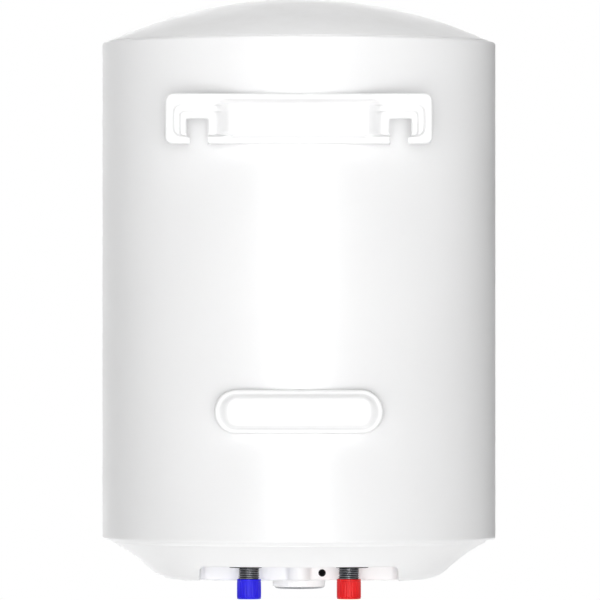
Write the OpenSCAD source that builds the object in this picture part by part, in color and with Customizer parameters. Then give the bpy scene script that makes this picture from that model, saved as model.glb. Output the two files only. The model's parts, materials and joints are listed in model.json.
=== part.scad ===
// Wall-hung storage water heater, 50 litre class, fed and drained through two pipes underneath.
// Frame: the origin is on the wall plane, midway between the two hook slots and level with the edges that
// bear on the wall hooks. +Z is up and +Y goes into the wall, so the heater's front faces -Y.

/* [Casing] */
// Outer diameter of the steel casing
casing_d = 396; // [380:2:420]
// Height of the steel casing
casing_h = 500; // [480:5:560]
// Thickness of the casing sheet
casing_wall = 1.2; // [0.8:0.1:2]
// Height of the casing's top edge above the hook edges
casing_top = 82; // [70:1:100]
// Radius of the casing's rolled edges
edge_r = 3; // [2:0.5:4]
// Rise of the top cover's dome above the casing
dome_rise = 43.5; // [36:0.5:60]
// Thickness of the top cover
dome_wall = 2; // [1.5:0.1:3]
// Thickness of the plastic bottom cover
bowl_wall = 2.6; // [2:0.1:3.2]
// Gap between the casing's back and the wall
wall_gap = 12; // [11:0.5:20]

/* [Wall bracket] */
// Distance between the centres of the two hook slots
hook_pitch = 200; // [190:1:210]
// Width of a hook slot
hook_slot_w = 21; // [18:0.5:24]
// Width of the bracket
bracket_w = 264; // [260:1:276]
// Height of the bracket
bracket_h = 50; // [46:1:60]
// Thickness of the pressed steel sheet
bracket_t = 2.2; // [1.8:0.1:3]
// Width of the lower wall spacer
spacer_w = 167; // [150:1:180]
// Height of the lower wall spacer
spacer_h = 44; // [40:1:50]
// Height of the spacer's middle, below the hook edges
spacer_drop = 288; // [270:1:310]

/* [Water connections] */
// Distance between the two pipes
pipe_pitch = 100; // [96:1:110]
// Crest diameter of the pipe thread
thread_d = 20.956; // [20.9:0.01:21]
// Pitch of the pipe thread
thread_pitch = 1.814; // [1.8:0.001:1.83]
// Diameter of the water way
bore_d = 15; // [13:0.5:16]
// Outer diameter of a thread cap
cap_d = 24.3; // [24.2:0.1:26]
// Height of a thread cap
cap_h = 20; // [18:0.5:21]

/* [Tank] */
// Outer diameter of the enamelled tank
tank_d = 352; // [340:2:356]
// Thickness of the tank's steel
tank_wall = 1.8; // [1.5:0.1:2.5]
// Depth of the bottom head
bottom_head_h = 50; // [46:1:54]
// Rise of the top head
top_head_h = 45; // [40:1:50]

/* [Controls] */
// Diameter of the temperature knob
knob_d = 53; // [48:1:56]
// Height of the knob below the bottom cover
knob_h = 9.5; // [7:0.5:12]
// Diameter of the hole for the mains cord
cord_hole_d = 6.9; // [6.4:0.1:7.1]

/* [Hidden] */
$fn = 96;
gap = 0.3;                                   // air between curved faces of neighbouring parts

casing_r = casing_d / 2;
axis_y = -(casing_r + wall_gap);             // the vessel's axis stands this far in front of the wall
casing_bottom = casing_top - casing_h;
lip_r = casing_r - 6;                        // inner edge of the casing's rolled lips
dome_base_r = casing_r - 4;
dome_r = (pow(dome_base_r, 2) + pow(dome_rise, 2)) / (2 * dome_rise);
dome_centre = casing_top + dome_rise - dome_r;

// The bottom cover's outline: a hollow sweep, then a round shoulder, then a flat floor.
sweep_r = 150;
shoulder_r = 42;
sweep_from = 25;
sweep_to = 44;
bowl_start = [casing_r - 7.2, casing_bottom - 1.4];
sweep_c = bowl_start + sweep_r * [sin(sweep_from), -cos(sweep_from)];
shoulder_c = sweep_c + sweep_r * [-sin(sweep_to), cos(sweep_to)] - shoulder_r * [sin(sweep_to), -cos(sweep_to)];
floor_z = shoulder_c[1] - shoulder_r;        // underside of the bottom cover
bay_half_w = 99;                             // the pipe bay is a recess in the cover's back, open to the wall
bay_z = floor_z + 17;                        // its ceiling
bay_y = 18;                                  // its front wall, behind the vessel's axis
bay_corner_r = 6;
rib_r = 11;                                  // half-round rib on the bay's front wall

// Sheet levels of the bracket and the spacer, measured from the wall plane.
rim_y = -5;
step_y = -7.2;
pocket_y = -9.4;
flange_y = -19;                              // how far the bracket's turned edges reach back
boss_half_w = 82;
boss_half_h = 19;
boss_end_slope = 15;
boss_side_slope = 4.5;
pocket_low = -18.5;
lip_w = 3.2;
slot_half = hook_slot_w / 2;
slot_x = hook_pitch / 2;

pipe_y = 42;                                 // the pipes stand this far behind the vessel's axis
pipe_x = pipe_pitch / 2;
thread_top = bay_z - 2.6;
pipe_end = floor_z - 16.2;
cap_end_wall = 1.2;
cap_bottom = pipe_end - 0.4 - cap_end_wall;
cap_top = cap_bottom + cap_h;
cap_wall = 0.75;
collar_shift = 4.2;                          // the collars sit this far outboard of their pipes
collar_r = 15.5;
sleeve_r = 12.9;
shank_r = thread_d / 2 - 0.2;
thread_depth = 1.16;

tank_r = tank_d / 2;
tank_bottom = casing_bottom + 75;            // where the barrel meets the bottom head
tank_top = casing_top - 19;
pipe_top = tank_bottom - 27;                 // upper ends of the two pipes, inside the tank
flange_c = -22;                              // the flange stands this far in front of the vessel's axis
flange_r = 58;
neck_inner_r = 46;
stud_circle_r = 52;
stud_count = 5;
neck_low = casing_bottom + 18;
neck_high = neck_low + 16;
gasket_t = 3;
plate_t = 4;
gasket_low = neck_low - gasket_t;
plate_low = gasket_low - plate_t;
stud_r = 3;
nut_h = 5;

knob_c = -30;                                // knob and thermostat stand this far in front of the axis
knob_low = floor_z - knob_h;
knob_gap = 0.7;
knob_edge_r = 4;
trim_h = 2.6;
trim_w = 4.5;
spindle_r = 3;
hub_r = 8;
thermostat_r = 21;
thermostat_low = plate_low - 40;
reset_x = 14;
reset_r = 3;
element_x = 20;
element_y = flange_c + 6;
element_r = 4.1;
element_h = 230;
anode_y = flange_c + 30;
anode_r = 10.5;
well_r = 5.5;

base_low = casing_bottom + 12.4;             // underside of the base ring
base_t = 3;
base_inner_r = 94;
front_screws = [88, -62];
rear_screws = [80, 62];
seat_h = 3.2;
skirt_r = lip_r - 1.4;                       // the cover's skirt slips inside the casing's lower lip
rim_z = casing_bottom + 12;
screw_head_r = 4;
screw_r = 1.9;
lens_y = -84;
lens_r = 3.6;

cord_x = -23.3;
cord_z = bay_z - 9.4;
block_x = -62;
block_y = -8;
block_h = bowl_wall + 4;                     // height of the terminal block above the cover's underside

// ---- Helpers ----

module at_axis() translate([0, axis_y, 0]) children();

function arc(c, r, from, to, n = 12) = [for (i = [0:n]) c + r * [cos(from + (to - from) * i / n), sin(from + (to - from) * i / n)]];
function unit(v) = v / norm(v);

// A rounded rectangle centred on the origin.
module rounded_rect(w, h, r) {
    square([w - 2 * r, h], center = true);
    square([w, h - 2 * r], center = true);
    for (x = [-1, 1], y = [-1, 1]) translate([x * (w / 2 - r), y * (h / 2 - r)]) circle(r);
}

// A flat outline in X and Z, swept from level y back towards the vessel.
module plate(y, depth) translate([0, y, 0]) rotate([90, 0, 0]) linear_extrude(depth) children();

module ring(outer, inner, low, high) {
    translate([0, 0, low]) difference() {
        cylinder(r = outer, h = high - low);
        translate([0, 0, -1]) cylinder(r = inner, h = high - low + 2);
    }
}

module rod(r, low, high) translate([0, 0, low]) cylinder(r = r, h = high - low);

module hex(across, low, high) translate([0, 0, low]) cylinder(r = across / sqrt(3), h = high - low, $fn = 6);

// Points on a smooth curve through a route's own points.
function spline(p, a, t) = let(
        p0 = p[max(a - 1, 0)], p1 = p[a], p2 = p[a + 1], p3 = p[min(a + 2, len(p) - 1)]
    ) 0.5 * (2 * p1 + (p2 - p0) * t + (2 * p0 - 5 * p1 + 4 * p2 - p3) * t * t
        + (3 * p1 - p0 - 3 * p2 + p3) * t * t * t);
function smooth(p, n = 4) = concat([for (a = [0:len(p) - 2], i = [0:n - 1]) spline(p, a, i / n)], [p[len(p) - 1]]);

// A round wire along a route.
module wire(route, r, sides = 8) {
    p = smooth(route);
    last = len(p) - 1;
    rings = [for (i = [0:last])
        let(t = unit(p[min(i + 1, last)] - p[max(i - 1, 0)]),
            u = unit(cross(t, abs(t[0]) < 0.8 ? [1, 0, 0] : [0, 1, 0])),
            v = cross(t, u))
        [for (k = [0:sides - 1]) p[i] + r * (cos(360 * k / sides) * u + sin(360 * k / sides) * v)]];
    polyhedron(
        points = [for (one = rings, q = one) q],
        faces = concat(
            [[for (k = [sides - 1:-1:0]) k]],
            [for (i = [0:last - 1], k = [0:sides - 1]) let(a = i * sides + k, b = i * sides + (k + 1) % sides)
                [a, b, b + sides]],
            [for (i = [0:last - 1], k = [0:sides - 1]) let(a = i * sides + k, b = i * sides + (k + 1) % sides)
                [a, b + sides, a + sides]],
            [[for (k = [0:sides - 1]) last * sides + k]]));
}

// ---- Casing and covers ----

module outer_shell() {
    outer_c = [casing_r - edge_r, casing_top - edge_r];
    lower_c = [casing_r - edge_r, casing_bottom + edge_r];
    inner = edge_r - casing_wall;
    color("white") at_axis() difference() {
        rotate_extrude() polygon(concat(
            [[lip_r, casing_top]], arc(outer_c, edge_r, 90, 0, 6), arc(lower_c, edge_r, 0, -90, 6),
            [[lip_r, casing_bottom], [lip_r, casing_bottom + casing_wall]],
            arc(lower_c, inner, -90, 0, 6), arc(outer_c, inner, 0, 90, 6),
            [[lip_r, casing_top - casing_wall]]));
        for (side = [-1, 1]) {
            translate([side * leg_x, casing_r - 20, 0]) cube([leg_t + 1, 60, 2 * leg_half_h + 1], center = true);
            translate([side * peg_x, 0, -spacer_drop]) rotate([-90, 0, 0]) cylinder(r = peg_r + 0.1, h = casing_r + 5);
        }
    }
}

module top_cover() {
    inner_r = dome_r - dome_wall;
    edge = lip_r - 0.2;
    function height(r, sphere) = dome_centre + sqrt(pow(sphere, 2) - pow(r, 2));
    n = 16;
    color("gainsboro") at_axis() rotate_extrude() polygon(concat(
        [for (i = [0:n]) [edge * i / n, height(edge * i / n, dome_r)]],
        [[edge, casing_top - 1.4], [edge + 2.2, casing_top - 1.4], [edge + 2.2, casing_top - 3.4],
         [edge - 2.3, casing_top - 3.4]],
        [for (i = [n:-1:0]) let(r = (edge - 2.3) * i / n) [r, height(r, inner_r)]]));
}

// Half of the bottom cover's outline, in by off from the outside, from the rim to the axis.
function bowl_outline(off) = concat(
    [for (i = [0:8]) let(a = sweep_from + (sweep_to - sweep_from) * i / 8)
        sweep_c + (sweep_r + off) * [-sin(a), cos(a)]],
    [for (i = [1:8]) let(a = sweep_to * (1 - i / 8)) shoulder_c + (shoulder_r - off) * [sin(a), -cos(a)]],
    [[0, floor_z + off]]);

// The pipe bay's space, or with grow the block of material that its walls are left in.
module bay(grow) {
    w = 2 * (bay_half_w + grow);
    r = bay_corner_r;
    translate([0, bay_y - grow, 0]) difference() {
        rotate([-90, 0, 0]) linear_extrude(casing_r) {
            translate([0, -(bay_z + grow) + r]) union() {
                translate([-w / 2, 0]) square([w, 60]);
                translate([-w / 2 + r, -r]) square([w - 2 * r, r]);
                for (x = [-1, 1]) translate([x * (w / 2 - r), 0]) circle(r);
            }
        }
        translate([0, 0, floor_z - 30]) cylinder(r = rib_r + (grow > 0 ? -grow : 0), h = 60);
    }
}

// A seat for one cover screw: a boss inside the cover, level with face_z outside.
module screw_seat(face_z) rod(7, face_z, face_z + bowl_wall + seat_h);
module screw_seat_cut(face_z) {
    rod(screw_head_r + 0.6, face_z - 20, face_z + seat_h);
    rod(screw_r + 0.3, face_z - 20, face_z + 20);
}

module each_front_screw() {
    $face_z = floor_z;
    for (side = [-1, 1]) translate([side * front_screws[0], front_screws[1], 0]) children();
}

module each_rear_screw() {
    $face_z = bay_z;
    for (side = [-1, 1]) translate([side * rear_screws[0], rear_screws[1], 0]) children();
}

module each_cover_screw() {
    each_front_screw() children();
    each_rear_screw() children();
}

// The bottom cover's outside, filled.
module cover_solid() {
    rotate_extrude() polygon(concat(
        [[0, rim_z], [skirt_r, rim_z], [skirt_r, casing_bottom - 0.4], [lip_r - 0.2, casing_bottom - 0.4]],
        bowl_outline(0)));
}

// The moulded bowl, with a window for the pipe bay.
module bottom_cover() {
    color("white") at_axis() difference() {
        union() {
            difference() {
                cover_solid();
                rotate_extrude() polygon(concat(
                    [[0, rim_z + 1], [skirt_r - bowl_wall, rim_z + 1], [skirt_r - bowl_wall, casing_bottom]],
                    bowl_outline(bowl_wall)));
                bay_block();
            }
            each_front_screw() screw_seat($face_z);
        }
        each_front_screw() screw_seat_cut($face_z);
        translate([0, knob_c, 0]) rod(hub_r + 1, floor_z - 5, floor_z + 10);
        translate([0, lens_y, 0]) rod(lens_r, floor_z - 5, floor_z + 10);
    }
}

// The block of material that the bay's walls are left in.
module bay_block() intersection() {
    bay(bowl_wall);
    rod(casing_r, floor_z - 1, bay_z + bowl_wall);
}

// The bay's ceiling, down to the lower edges of its rounded corners.
module pipe_bay_tray() {
    color("white") at_axis() difference() {
        union() {
            difference() {
                intersection() {
                    cover_solid();
                    bay_block();
                    rod(casing_r, bay_z - bay_corner_r, bay_z + bowl_wall);
                }
                bay(0);
                translate([-bay_half_w, bay_y - bowl_wall - 1, floor_z - 1])
                    cube([2 * bay_half_w, bowl_wall + 1, bay_z - floor_z + 1]);
                translate([0, bay_y, 0]) rod(rib_r + 1, floor_z - 1, bay_z);
            }
            each_rear_screw() screw_seat($face_z);
        }
        each_rear_screw() screw_seat_cut($face_z);
        for (side = [-1, 1]) translate([side * pipe_x, pipe_y, 0]) rod(sleeve_r + 0.1, bay_z - 5, bay_z + 10);
    }
}

// The bay's two ends, below the rounded corners.
module bay_end_walls() {
    color("white") at_axis() intersection() {
        cover_solid();
        for (x = [-bay_half_w - bowl_wall, bay_half_w]) translate([x, bay_y - bowl_wall, floor_z - 1])
            cube([bowl_wall, casing_r, bay_z - bay_corner_r - floor_z + 1]);
    }
}

// The bay's front wall, with a half-round rib and the hole for the mains cord.
module cord_entry_panel() {
    color("white") at_axis() difference() {
        union() {
            translate([-bay_half_w, bay_y - bowl_wall, floor_z]) cube([2 * bay_half_w, bowl_wall, bay_z - floor_z]);
            translate([0, bay_y, 0]) intersection() {
                rod(rib_r, floor_z, bay_z);
                translate([-rib_r, 0, floor_z]) cube([2 * rib_r, rib_r, bay_z - floor_z]);
            }
        }
        translate([0, bay_y - bowl_wall, 0]) rod(rib_r - bowl_wall, floor_z - 1, bay_z + 1);
        translate([cord_x, 0, cord_z]) rotate([-90, 0, 0]) cylinder(r = cord_hole_d / 2 + 0.6, h = bay_y + 5);
    }
}

// Closes the foam at the bottom and carries the pillars that the cover screws bite into.
module base_ring() {
    color("lightgrey") at_axis() difference() {
        union() {
            ring(casing_r - casing_wall - gap, base_inner_r, base_low, base_low + base_t);
            each_cover_screw() rod(5, $face_z + bowl_wall + seat_h, base_low + base_t);
        }
        each_cover_screw() rod(screw_r, $face_z, $face_z + 22);
    }
}

module cover_screws() {
    color("silver") at_axis() each_cover_screw() difference() {
        union() {
            rod(screw_head_r, $face_z + seat_h - 2.4, $face_z + seat_h);
            rod(screw_r, $face_z + seat_h, $face_z + seat_h + 16);
        }
        translate([0, 0, $face_z + seat_h - 2.4]) for (turn = [0, 90])
            rotate(turn) cube([4.4, 1, 2.4], center = true);
    }
}

// ---- Tank and insulation ----

function head_outline(r, z, rise, n = 14) = [for (i = [0:n]) [r * cos(90 * i / n), z + rise * sin(90 * i / n)]];

module head(z, rise) {
    side = sign(rise);
    rotate_extrude() polygon(concat(
        head_outline(tank_r, z, rise),
        [for (i = [14:-1:0]) let(p = head_outline(tank_r - tank_wall, z, rise - side * tank_wall)[i]) p]));
}

module tank_barrel() color("lightsteelblue") at_axis() ring(tank_r, tank_r - tank_wall, tank_bottom, tank_top);

module tank_top_head() color("lightsteelblue") at_axis() head(tank_top, top_head_h);

module tank_bottom_head() {
    color("lightsteelblue") at_axis() difference() {
        head(tank_bottom, -bottom_head_h);
        translate([0, flange_c, 0]) rod(flange_r, neck_low, tank_bottom);
        for (side = [-1, 1]) translate([side * pipe_x, pipe_y, 0]) rod(shank_r, neck_low, tank_bottom);
    }
}

module insulation_foam() {
    outer = casing_r - casing_wall - gap;
    low = base_low + base_t + gap;
    foam_dome_r = dome_r - dome_wall - gap;
    function height(r) = dome_centre + sqrt(pow(foam_dome_r, 2) - pow(r, 2));
    shoulder = lip_r - 3;
    n = 12;
    color("khaki") at_axis() difference() {
        rotate_extrude() polygon(concat(
            [[0, low], [outer, low], [outer, casing_top - 6], [shoulder, casing_top - 6]],
            [for (i = [n:-1:0]) let(r = shoulder * i / n) [r, height(r)]]));
        rotate_extrude() polygon(concat(
            [for (i = [14:-1:0]) head_outline(tank_r + gap, tank_top, top_head_h + gap)[i]],
            head_outline(tank_r + gap, tank_bottom, -bottom_head_h - gap)));
        rod(base_inner_r - 2, low - 1, tank_bottom - 15);
        intersection() {
            ring(tank_r + 3 + gap, tank_r, -31, 31);
            translate([-76, 0, -31]) cube([152, casing_r, 62]);
        }
        for (side = [-1, 1]) {
            translate([side * leg_x, casing_r - 20, 0]) cube([leg_t + 1, 60, 2 * leg_half_h + 1], center = true);
            translate([side * peg_x, casing_r - 20, -spacer_drop]) rotate([-90, 0, 0]) cylinder(r = peg_r + gap, h = 40);
        }
    }
}

// ---- Hanging parts ----

leg_x = 56;
leg_t = 5;
leg_half_h = 10;
peg_x = 40;
peg_r = 3;

// A curved plate welded to the tank, where the bracket's load goes in.
module bracket_saddle() {
    color("lightsteelblue") at_axis() intersection() {
        ring(tank_r + 3, tank_r, -30, 30);
        translate([-75, 0, -30]) cube([150, casing_r, 60]);
    }
}

// Two plates that carry the bracket from the saddle, through the casing.
module bracket_legs() {
    color("white") difference() {
        for (side = [-1, 1]) translate([side * leg_x - leg_t / 2, axis_y + tank_r / 2, -leg_half_h])
            cube([leg_t, -axis_y - tank_r / 2 - bracket_t, 2 * leg_half_h]);
        at_axis() rod(tank_r + 3, -40, 40);
    }
}

// A raised field with a flat top and sloping sides, from below the rim up to level -drop.
module boss(half_w, half_h, end_slope, side_slope, inset, drop) {
    w = half_w - inset;
    h = half_h - inset;
    low = rim_y - drop;
    top = -drop;
    intersection() {
        translate([0, 0, -40]) linear_extrude(80) polygon([
            [-w, -60], [-w, low], [-w + end_slope, top], [w - end_slope, top], [w, low], [w, -60]]);
        rotate([90, 0, 90]) translate([0, 0, -150]) linear_extrude(300) polygon([
            [-60, -h], [low, -h], [top, -h + side_slope], [top, h - side_slope], [low, h], [-60, h]]);
    }
}

// One sunken field beside the boss, from x_out inwards.
module pocket_outline(x_out, z_high, r, inset) {
    low = pocket_low - inset;
    w = x_out + inset - boss_half_w + 20;
    h = z_high + inset - low;
    translate([x_out + inset - w / 2, low + h / 2]) rounded_rect(w, h, r);
}

// The pressed sheet's back surface as a solid. inset and drop give the surface one sheet thickness inside it.
module pressing(inset, drop) {
    difference() {
        plate(rim_y - drop, 60) rounded_rect(bracket_w - 2 * inset, bracket_h - 2 * inset, 8 - inset);
        for (side = [-1, 1]) scale([side, 1, 1]) {
            plate(30, 30 - step_y + drop) pocket_outline(124, 15, 6, inset);
            plate(30, 30 - pocket_y + drop) pocket_outline(118, 8.5, 4, inset);
        }
    }
    boss(boss_half_w, boss_half_h, boss_end_slope, boss_side_slope, inset, drop);
}

module wall_bracket() {
    color("white") difference() {
        intersection() {
            pressing(0, 0);
            translate([-200, flange_y, -60]) cube([400, 40, 120]);
        }
        pressing(bracket_t, bracket_t);
        at_axis() rod(casing_r + gap, -60, 60);
        for (side = [-1, 1]) scale([side, 1, 1]) difference() {
            translate([slot_x - slot_half, flange_y - 1, -bracket_h]) cube([hook_slot_w, 40, bracket_h]);
            translate([slot_x + slot_half - lip_w, flange_y - 1, -bracket_h]) cube([lip_w + 1, 40, bracket_h + pocket_low]);
        }
    }
}

module stadium(w, h) {
    square([w - h, h], center = true);
    for (side = [-1, 1]) translate([side * (w - h) / 2, 0]) circle(h / 2);
}

module spacer_block(inset, drop) {
    field_h = spacer_h - 9;
    plate(rim_y - drop, 60) stadium(spacer_w - 2 * inset, spacer_h - 2 * inset);
    intersection() {
        boss((spacer_w - 9) / 2, field_h / 2, boss_end_slope, boss_side_slope, inset, drop);
        plate(30, 90) stadium(spacer_w - 9 - 2 * inset, field_h - 2 * inset);
    }
}

module wall_spacer() {
    color("white") union() {
        translate([0, 0, -spacer_drop]) difference() {
            spacer_block(0, 0);
            spacer_block(bracket_t, bracket_t);
            at_axis() rod(casing_r + gap, -60, 60);
        }
        // two pegs that push through the casing
        for (side = [-1, 1]) translate([side * peg_x, -bracket_t, -spacer_drop]) rotate([90, 0, 0])
            cylinder(r = peg_r, h = 24);
    }
}

// ---- Water connections ----

module at_pipe(side) translate([side * pipe_x, axis_y + pipe_y, 0]) children();

// One nipple: a plain shank up into the tank and a parallel thread below the cover.
module nipple(top) {
    crest = thread_d / 2;
    turns = floor((thread_top - pipe_end) / thread_pitch);
    difference() {
        union() {
            rod(shank_r, thread_top - 0.01, top);
            rod(crest - thread_depth, pipe_end, thread_top);
            rotate_extrude() polygon(concat(
                [[crest - thread_depth - 1, thread_top]],
                [for (i = [0:turns - 1], k = [0:3]) let(z = thread_top - thread_pitch * (i + 0.1))
                    [k == 0 || k == 3 ? crest - thread_depth : crest,
                     z - thread_pitch * [0, 0.3, 0.55, 0.85][k]]],
                [[crest - thread_depth - 1, thread_top - thread_pitch * turns]]));
        }
        rod(bore_d / 2, pipe_end - 1, top + 1);
    }
}

module cold_inlet_pipe() color("silver") at_pipe(1) nipple(pipe_top);

module hot_outlet_pipe() color("silver") at_pipe(-1) nipple(pipe_top);

// Takes hot water from the top of the tank down to the outlet.
module hot_standpipe() {
    color("lightgrey") at_pipe(-1) difference() {
        union() {
            rod(bore_d / 2, pipe_top - 13, pipe_top);
            rod(bore_d / 2 + 1.5, pipe_top, tank_top + 25);
        }
        rod(5.5, pipe_top - 14, tank_top + 26);
    }
}

// Spreads the cold water along the tank's bottom.
module inlet_diffuser() {
    color("ivory") at_pipe(1) difference() {
        union() {
            rod(bore_d / 2, pipe_top - 13, pipe_top);
            rod(17, pipe_top, pipe_top + 20);
        }
        rod(5.5, pipe_top - 14, pipe_top + 1);
        rod(15, pipe_top + 1, pipe_top + 18);
        for (turn = [0:45:135]) rotate(turn) translate([-20, -2.5, pipe_top + 4]) cube([40, 5, 10]);
    }
}

// A rubber collar that closes the gap around a pipe; its face is a shallow dish.
module pipe_collar(side) {
    color("dimgray") translate([side * collar_shift, 0, 0]) at_pipe(side) difference() {
        union() {
            rotate_extrude() polygon([[0, bay_z], [collar_r, bay_z], [collar_r, bay_z - 0.5],
                [11.5, bay_z - 1.9], [0, bay_z - 1.9]]);
            translate([-side * collar_shift, 0, 0]) rod(sleeve_r, bay_z - 0.5, bay_z + bowl_wall + 2);
        }
        translate([-side * collar_shift, 0, 0]) rod(shank_r, bay_z - 10, bay_z + 10);
    }
}

module cold_pipe_collar() pipe_collar(1);
module hot_pipe_collar() pipe_collar(-1);

// A push-in cap: a spigot grips the pipe's bore and a skirt stands clear of the thread.
module thread_cap() {
    r = cap_d / 2;
    lead = 0.9;
    rotate_extrude() polygon([[0, cap_bottom], [r - lead, cap_bottom], [r, cap_bottom + lead],
        [r, cap_top - lead], [r - cap_wall + 0.1, cap_top], [r - cap_wall, cap_top],
        [r - cap_wall, cap_bottom + cap_end_wall], [bore_d / 2 - 0.15, cap_bottom + cap_end_wall],
        [bore_d / 2 - 0.15, cap_bottom + 10], [bore_d / 2 - 0.65, cap_bottom + 11],
        [bore_d / 2 - 1.65, cap_bottom + 11], [bore_d / 2 - 1.65, cap_bottom + cap_end_wall],
        [0, cap_bottom + cap_end_wall]]);
}

module cold_thread_cap() color("mediumblue") at_pipe(1) thread_cap();
module hot_thread_cap() color("crimson") at_pipe(-1) thread_cap();

// ---- Flange, element and anode ----

module at_flange() translate([0, axis_y + flange_c, 0]) children();
module each_stud() for (i = [0:stud_count - 1]) rotate(90 + 36 + 72 * i) translate([stud_circle_r, 0, 0]) children();

module flange_neck() {
    color("lightsteelblue") at_flange() difference() {
        ring(flange_r, neck_inner_r, neck_low, neck_high);
        each_stud() rod(stud_r, neck_low - 1, neck_low + 10);
    }
}

module flange_studs() color("silver") at_flange() each_stud() rod(stud_r, plate_low - 9, neck_low + 10);

module flange_gasket() {
    color("dimgray") at_flange() difference() {
        ring(flange_r, neck_inner_r - 4, gasket_low, neck_low);
        each_stud() rod(stud_r + 0.3, gasket_low - 1, neck_low + 1);
    }
}

module flange_plate() {
    color("silver") at_flange() difference() {
        rod(flange_r, plate_low, gasket_low);
        each_stud() rod(stud_r + 0.4, plate_low - 1, gasket_low + 1);
        translate([0, -flange_c, 0]) {
            for (side = [-1, 1]) translate([side * element_x, element_y, 0]) rod(element_r, plate_low - 1, neck_low);
            translate([0, anode_y, 0]) rod(stud_r, plate_low - 1, neck_low);
            translate([0, knob_c, 0]) rod(well_r, plate_low - 1, neck_low);
        }
    }
}

module flange_nuts() {
    color("silver") at_flange() each_stud() difference() {
        union() {
            rod(6, plate_low - 1.2, plate_low);
            hex(10, plate_low - 1.2 - nut_h, plate_low - 1.2);
        }
        rod(stud_r, plate_low - 10, plate_low + 1);
    }
}

// A hairpin of sheathed tube.
module heating_element() {
    color("chocolate") at_axis() translate([0, element_y, 0]) {
        for (side = [-1, 1]) translate([side * element_x, 0, 0]) rod(element_r, plate_low - 6, plate_low + element_h);
        translate([0, 0, plate_low + element_h]) rotate([90, 0, 0]) intersection() {
            rotate_extrude() translate([element_x, 0]) circle(element_r);
            translate([-60, 0, -60]) cube([120, 60, 120]);
        }
    }
}

module each_element_end() for (side = [-1, 1]) at_axis() translate([side * element_x, element_y, 0]) children();

module element_bushings() color("ivory") each_element_end() ring(3.4, 1.6, plate_low - 9, plate_low - 6);

module element_terminals() {
    color("gold") each_element_end() {
        rod(1.6, plate_low - 11, plate_low - 6);
        translate([-3.2, -0.4, plate_low - 20]) cube([6.4, 0.8, 9]);
    }
}

module magnesium_anode() {
    color("darkgray") at_axis() translate([0, anode_y, 0]) {
        rod(anode_r, neck_low + 8, neck_low + 215);
        rod(stud_r, plate_low - 9, neck_low + 8);
    }
}

module anode_nut() color("silver") at_axis() translate([0, anode_y, 0]) difference() {
    hex(10, plate_low - nut_h, plate_low);
    rod(stud_r, plate_low - 10, plate_low + 1);
}

module at_knob() translate([0, axis_y + knob_c, 0]) children();

// A closed tube that keeps the thermostat's rod dry.
module sensor_well() {
    color("chocolate") at_knob() difference() {
        rod(well_r, plate_low, neck_low + 230);
        rod(well_r - 1, plate_low - 1, neck_low + 229);
    }
}

module thermostat_rod() color("goldenrod") at_knob() rod(3.2, plate_low - 3, neck_low + 222);

module thermostat_body() {
    color("black") at_knob() difference() {
        union() {
            rod(thermostat_r, thermostat_low, plate_low - 6);
            rod(9, plate_low - 6, plate_low - 0.2);
        }
        rod(3.2, plate_low - 3, plate_low);
        rod(spindle_r + 0.05, thermostat_low - 1, thermostat_low + 12);
        translate([reset_x, 0, 0]) rod(reset_r + 0.1, thermostat_low - 1, thermostat_low + 6);
    }
}

module reset_button() color("red") at_knob() translate([reset_x, 0, 0]) rod(reset_r, thermostat_low - 2, thermostat_low + 4);

module thermostat_spindle() color("silver") at_knob() rod(spindle_r, knob_low + 4, thermostat_low + 11);

module temperature_knob() {
    r = knob_d / 2;
    top = floor_z - knob_gap;
    color("white") at_knob() difference() {
        union() {
            rotate_extrude() polygon([[0, knob_low], [r - trim_w, knob_low], [r - trim_w, knob_low + trim_h],
                [r, knob_low + trim_h], [r, top - 0.8], [r - 0.8, top], [0, top]]);
            rod(hub_r, top, floor_z + 4);
        }
        rod(spindle_r, knob_low + 4, floor_z + 5);
        // pointer groove across the face
        translate([-1, -r + trim_w + 1.5, knob_low - 1]) cube([2, 11, 1.6]);
    }
}

module knob_trim_ring() {
    r = knob_d / 2;
    color("silver") at_knob() rotate_extrude() polygon(concat(
        [[r - trim_w, knob_low + trim_h], [r - trim_w, knob_low]],
        arc([r - trim_h, knob_low + trim_h], trim_h, -90, 0, 8)));
}

// ---- Lamp, cord entry and wiring ----

module indicator_lens() color("orange") at_axis() translate([0, lens_y, 0]) rod(lens_r, floor_z - 1.2, floor_z + 5);
module neon_lamp() color("orangered") at_axis() translate([0, lens_y, 0]) rod(2.5, floor_z + 5, floor_z + 19);

module cord_grommet() {
    bore = cord_hole_d / 2;
    color("black") at_axis() translate([cord_x, 0, cord_z]) rotate([-90, 0, 0]) difference() {
        union() {
            translate([0, 0, bay_y]) cylinder(r = bore + 0.9, h = 0.8);
            translate([0, 0, bay_y - bowl_wall]) cylinder(r = bore + 0.6, h = bowl_wall);
            translate([0, 0, bay_y - bowl_wall - 4]) cylinder(r = bore + 1.2, h = 4);
        }
        translate([0, 0, bay_y - 12]) cylinder(r = bore, h = 20);
    }
}

clamp_y = -4;                                // front edge of the cord clamp
module cord_clamp() {
    color("ivory") at_axis() translate([cord_x, clamp_y, 0]) difference() {
        translate([-13, 0, floor_z + bowl_wall]) cube([26, 9, cord_z - floor_z - bowl_wall + 7]);
        translate([0, -1, cord_z]) rotate([-90, 0, 0]) cylinder(r = cord_hole_d / 2 + 0.3, h = 12);
        for (side = [-1, 1]) translate([side * 9, 4.5, 0]) rod(1.5, cord_z - 4, cord_z + 10);
    }
}

module clamp_screws() {
    color("silver") at_axis() for (side = [-1, 1]) translate([cord_x + side * 9, clamp_y + 4.5, 0]) {
        rod(1.5, cord_z - 4, cord_z + 7);
        rod(2.8, cord_z + 7, cord_z + 9);
    }
}

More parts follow.
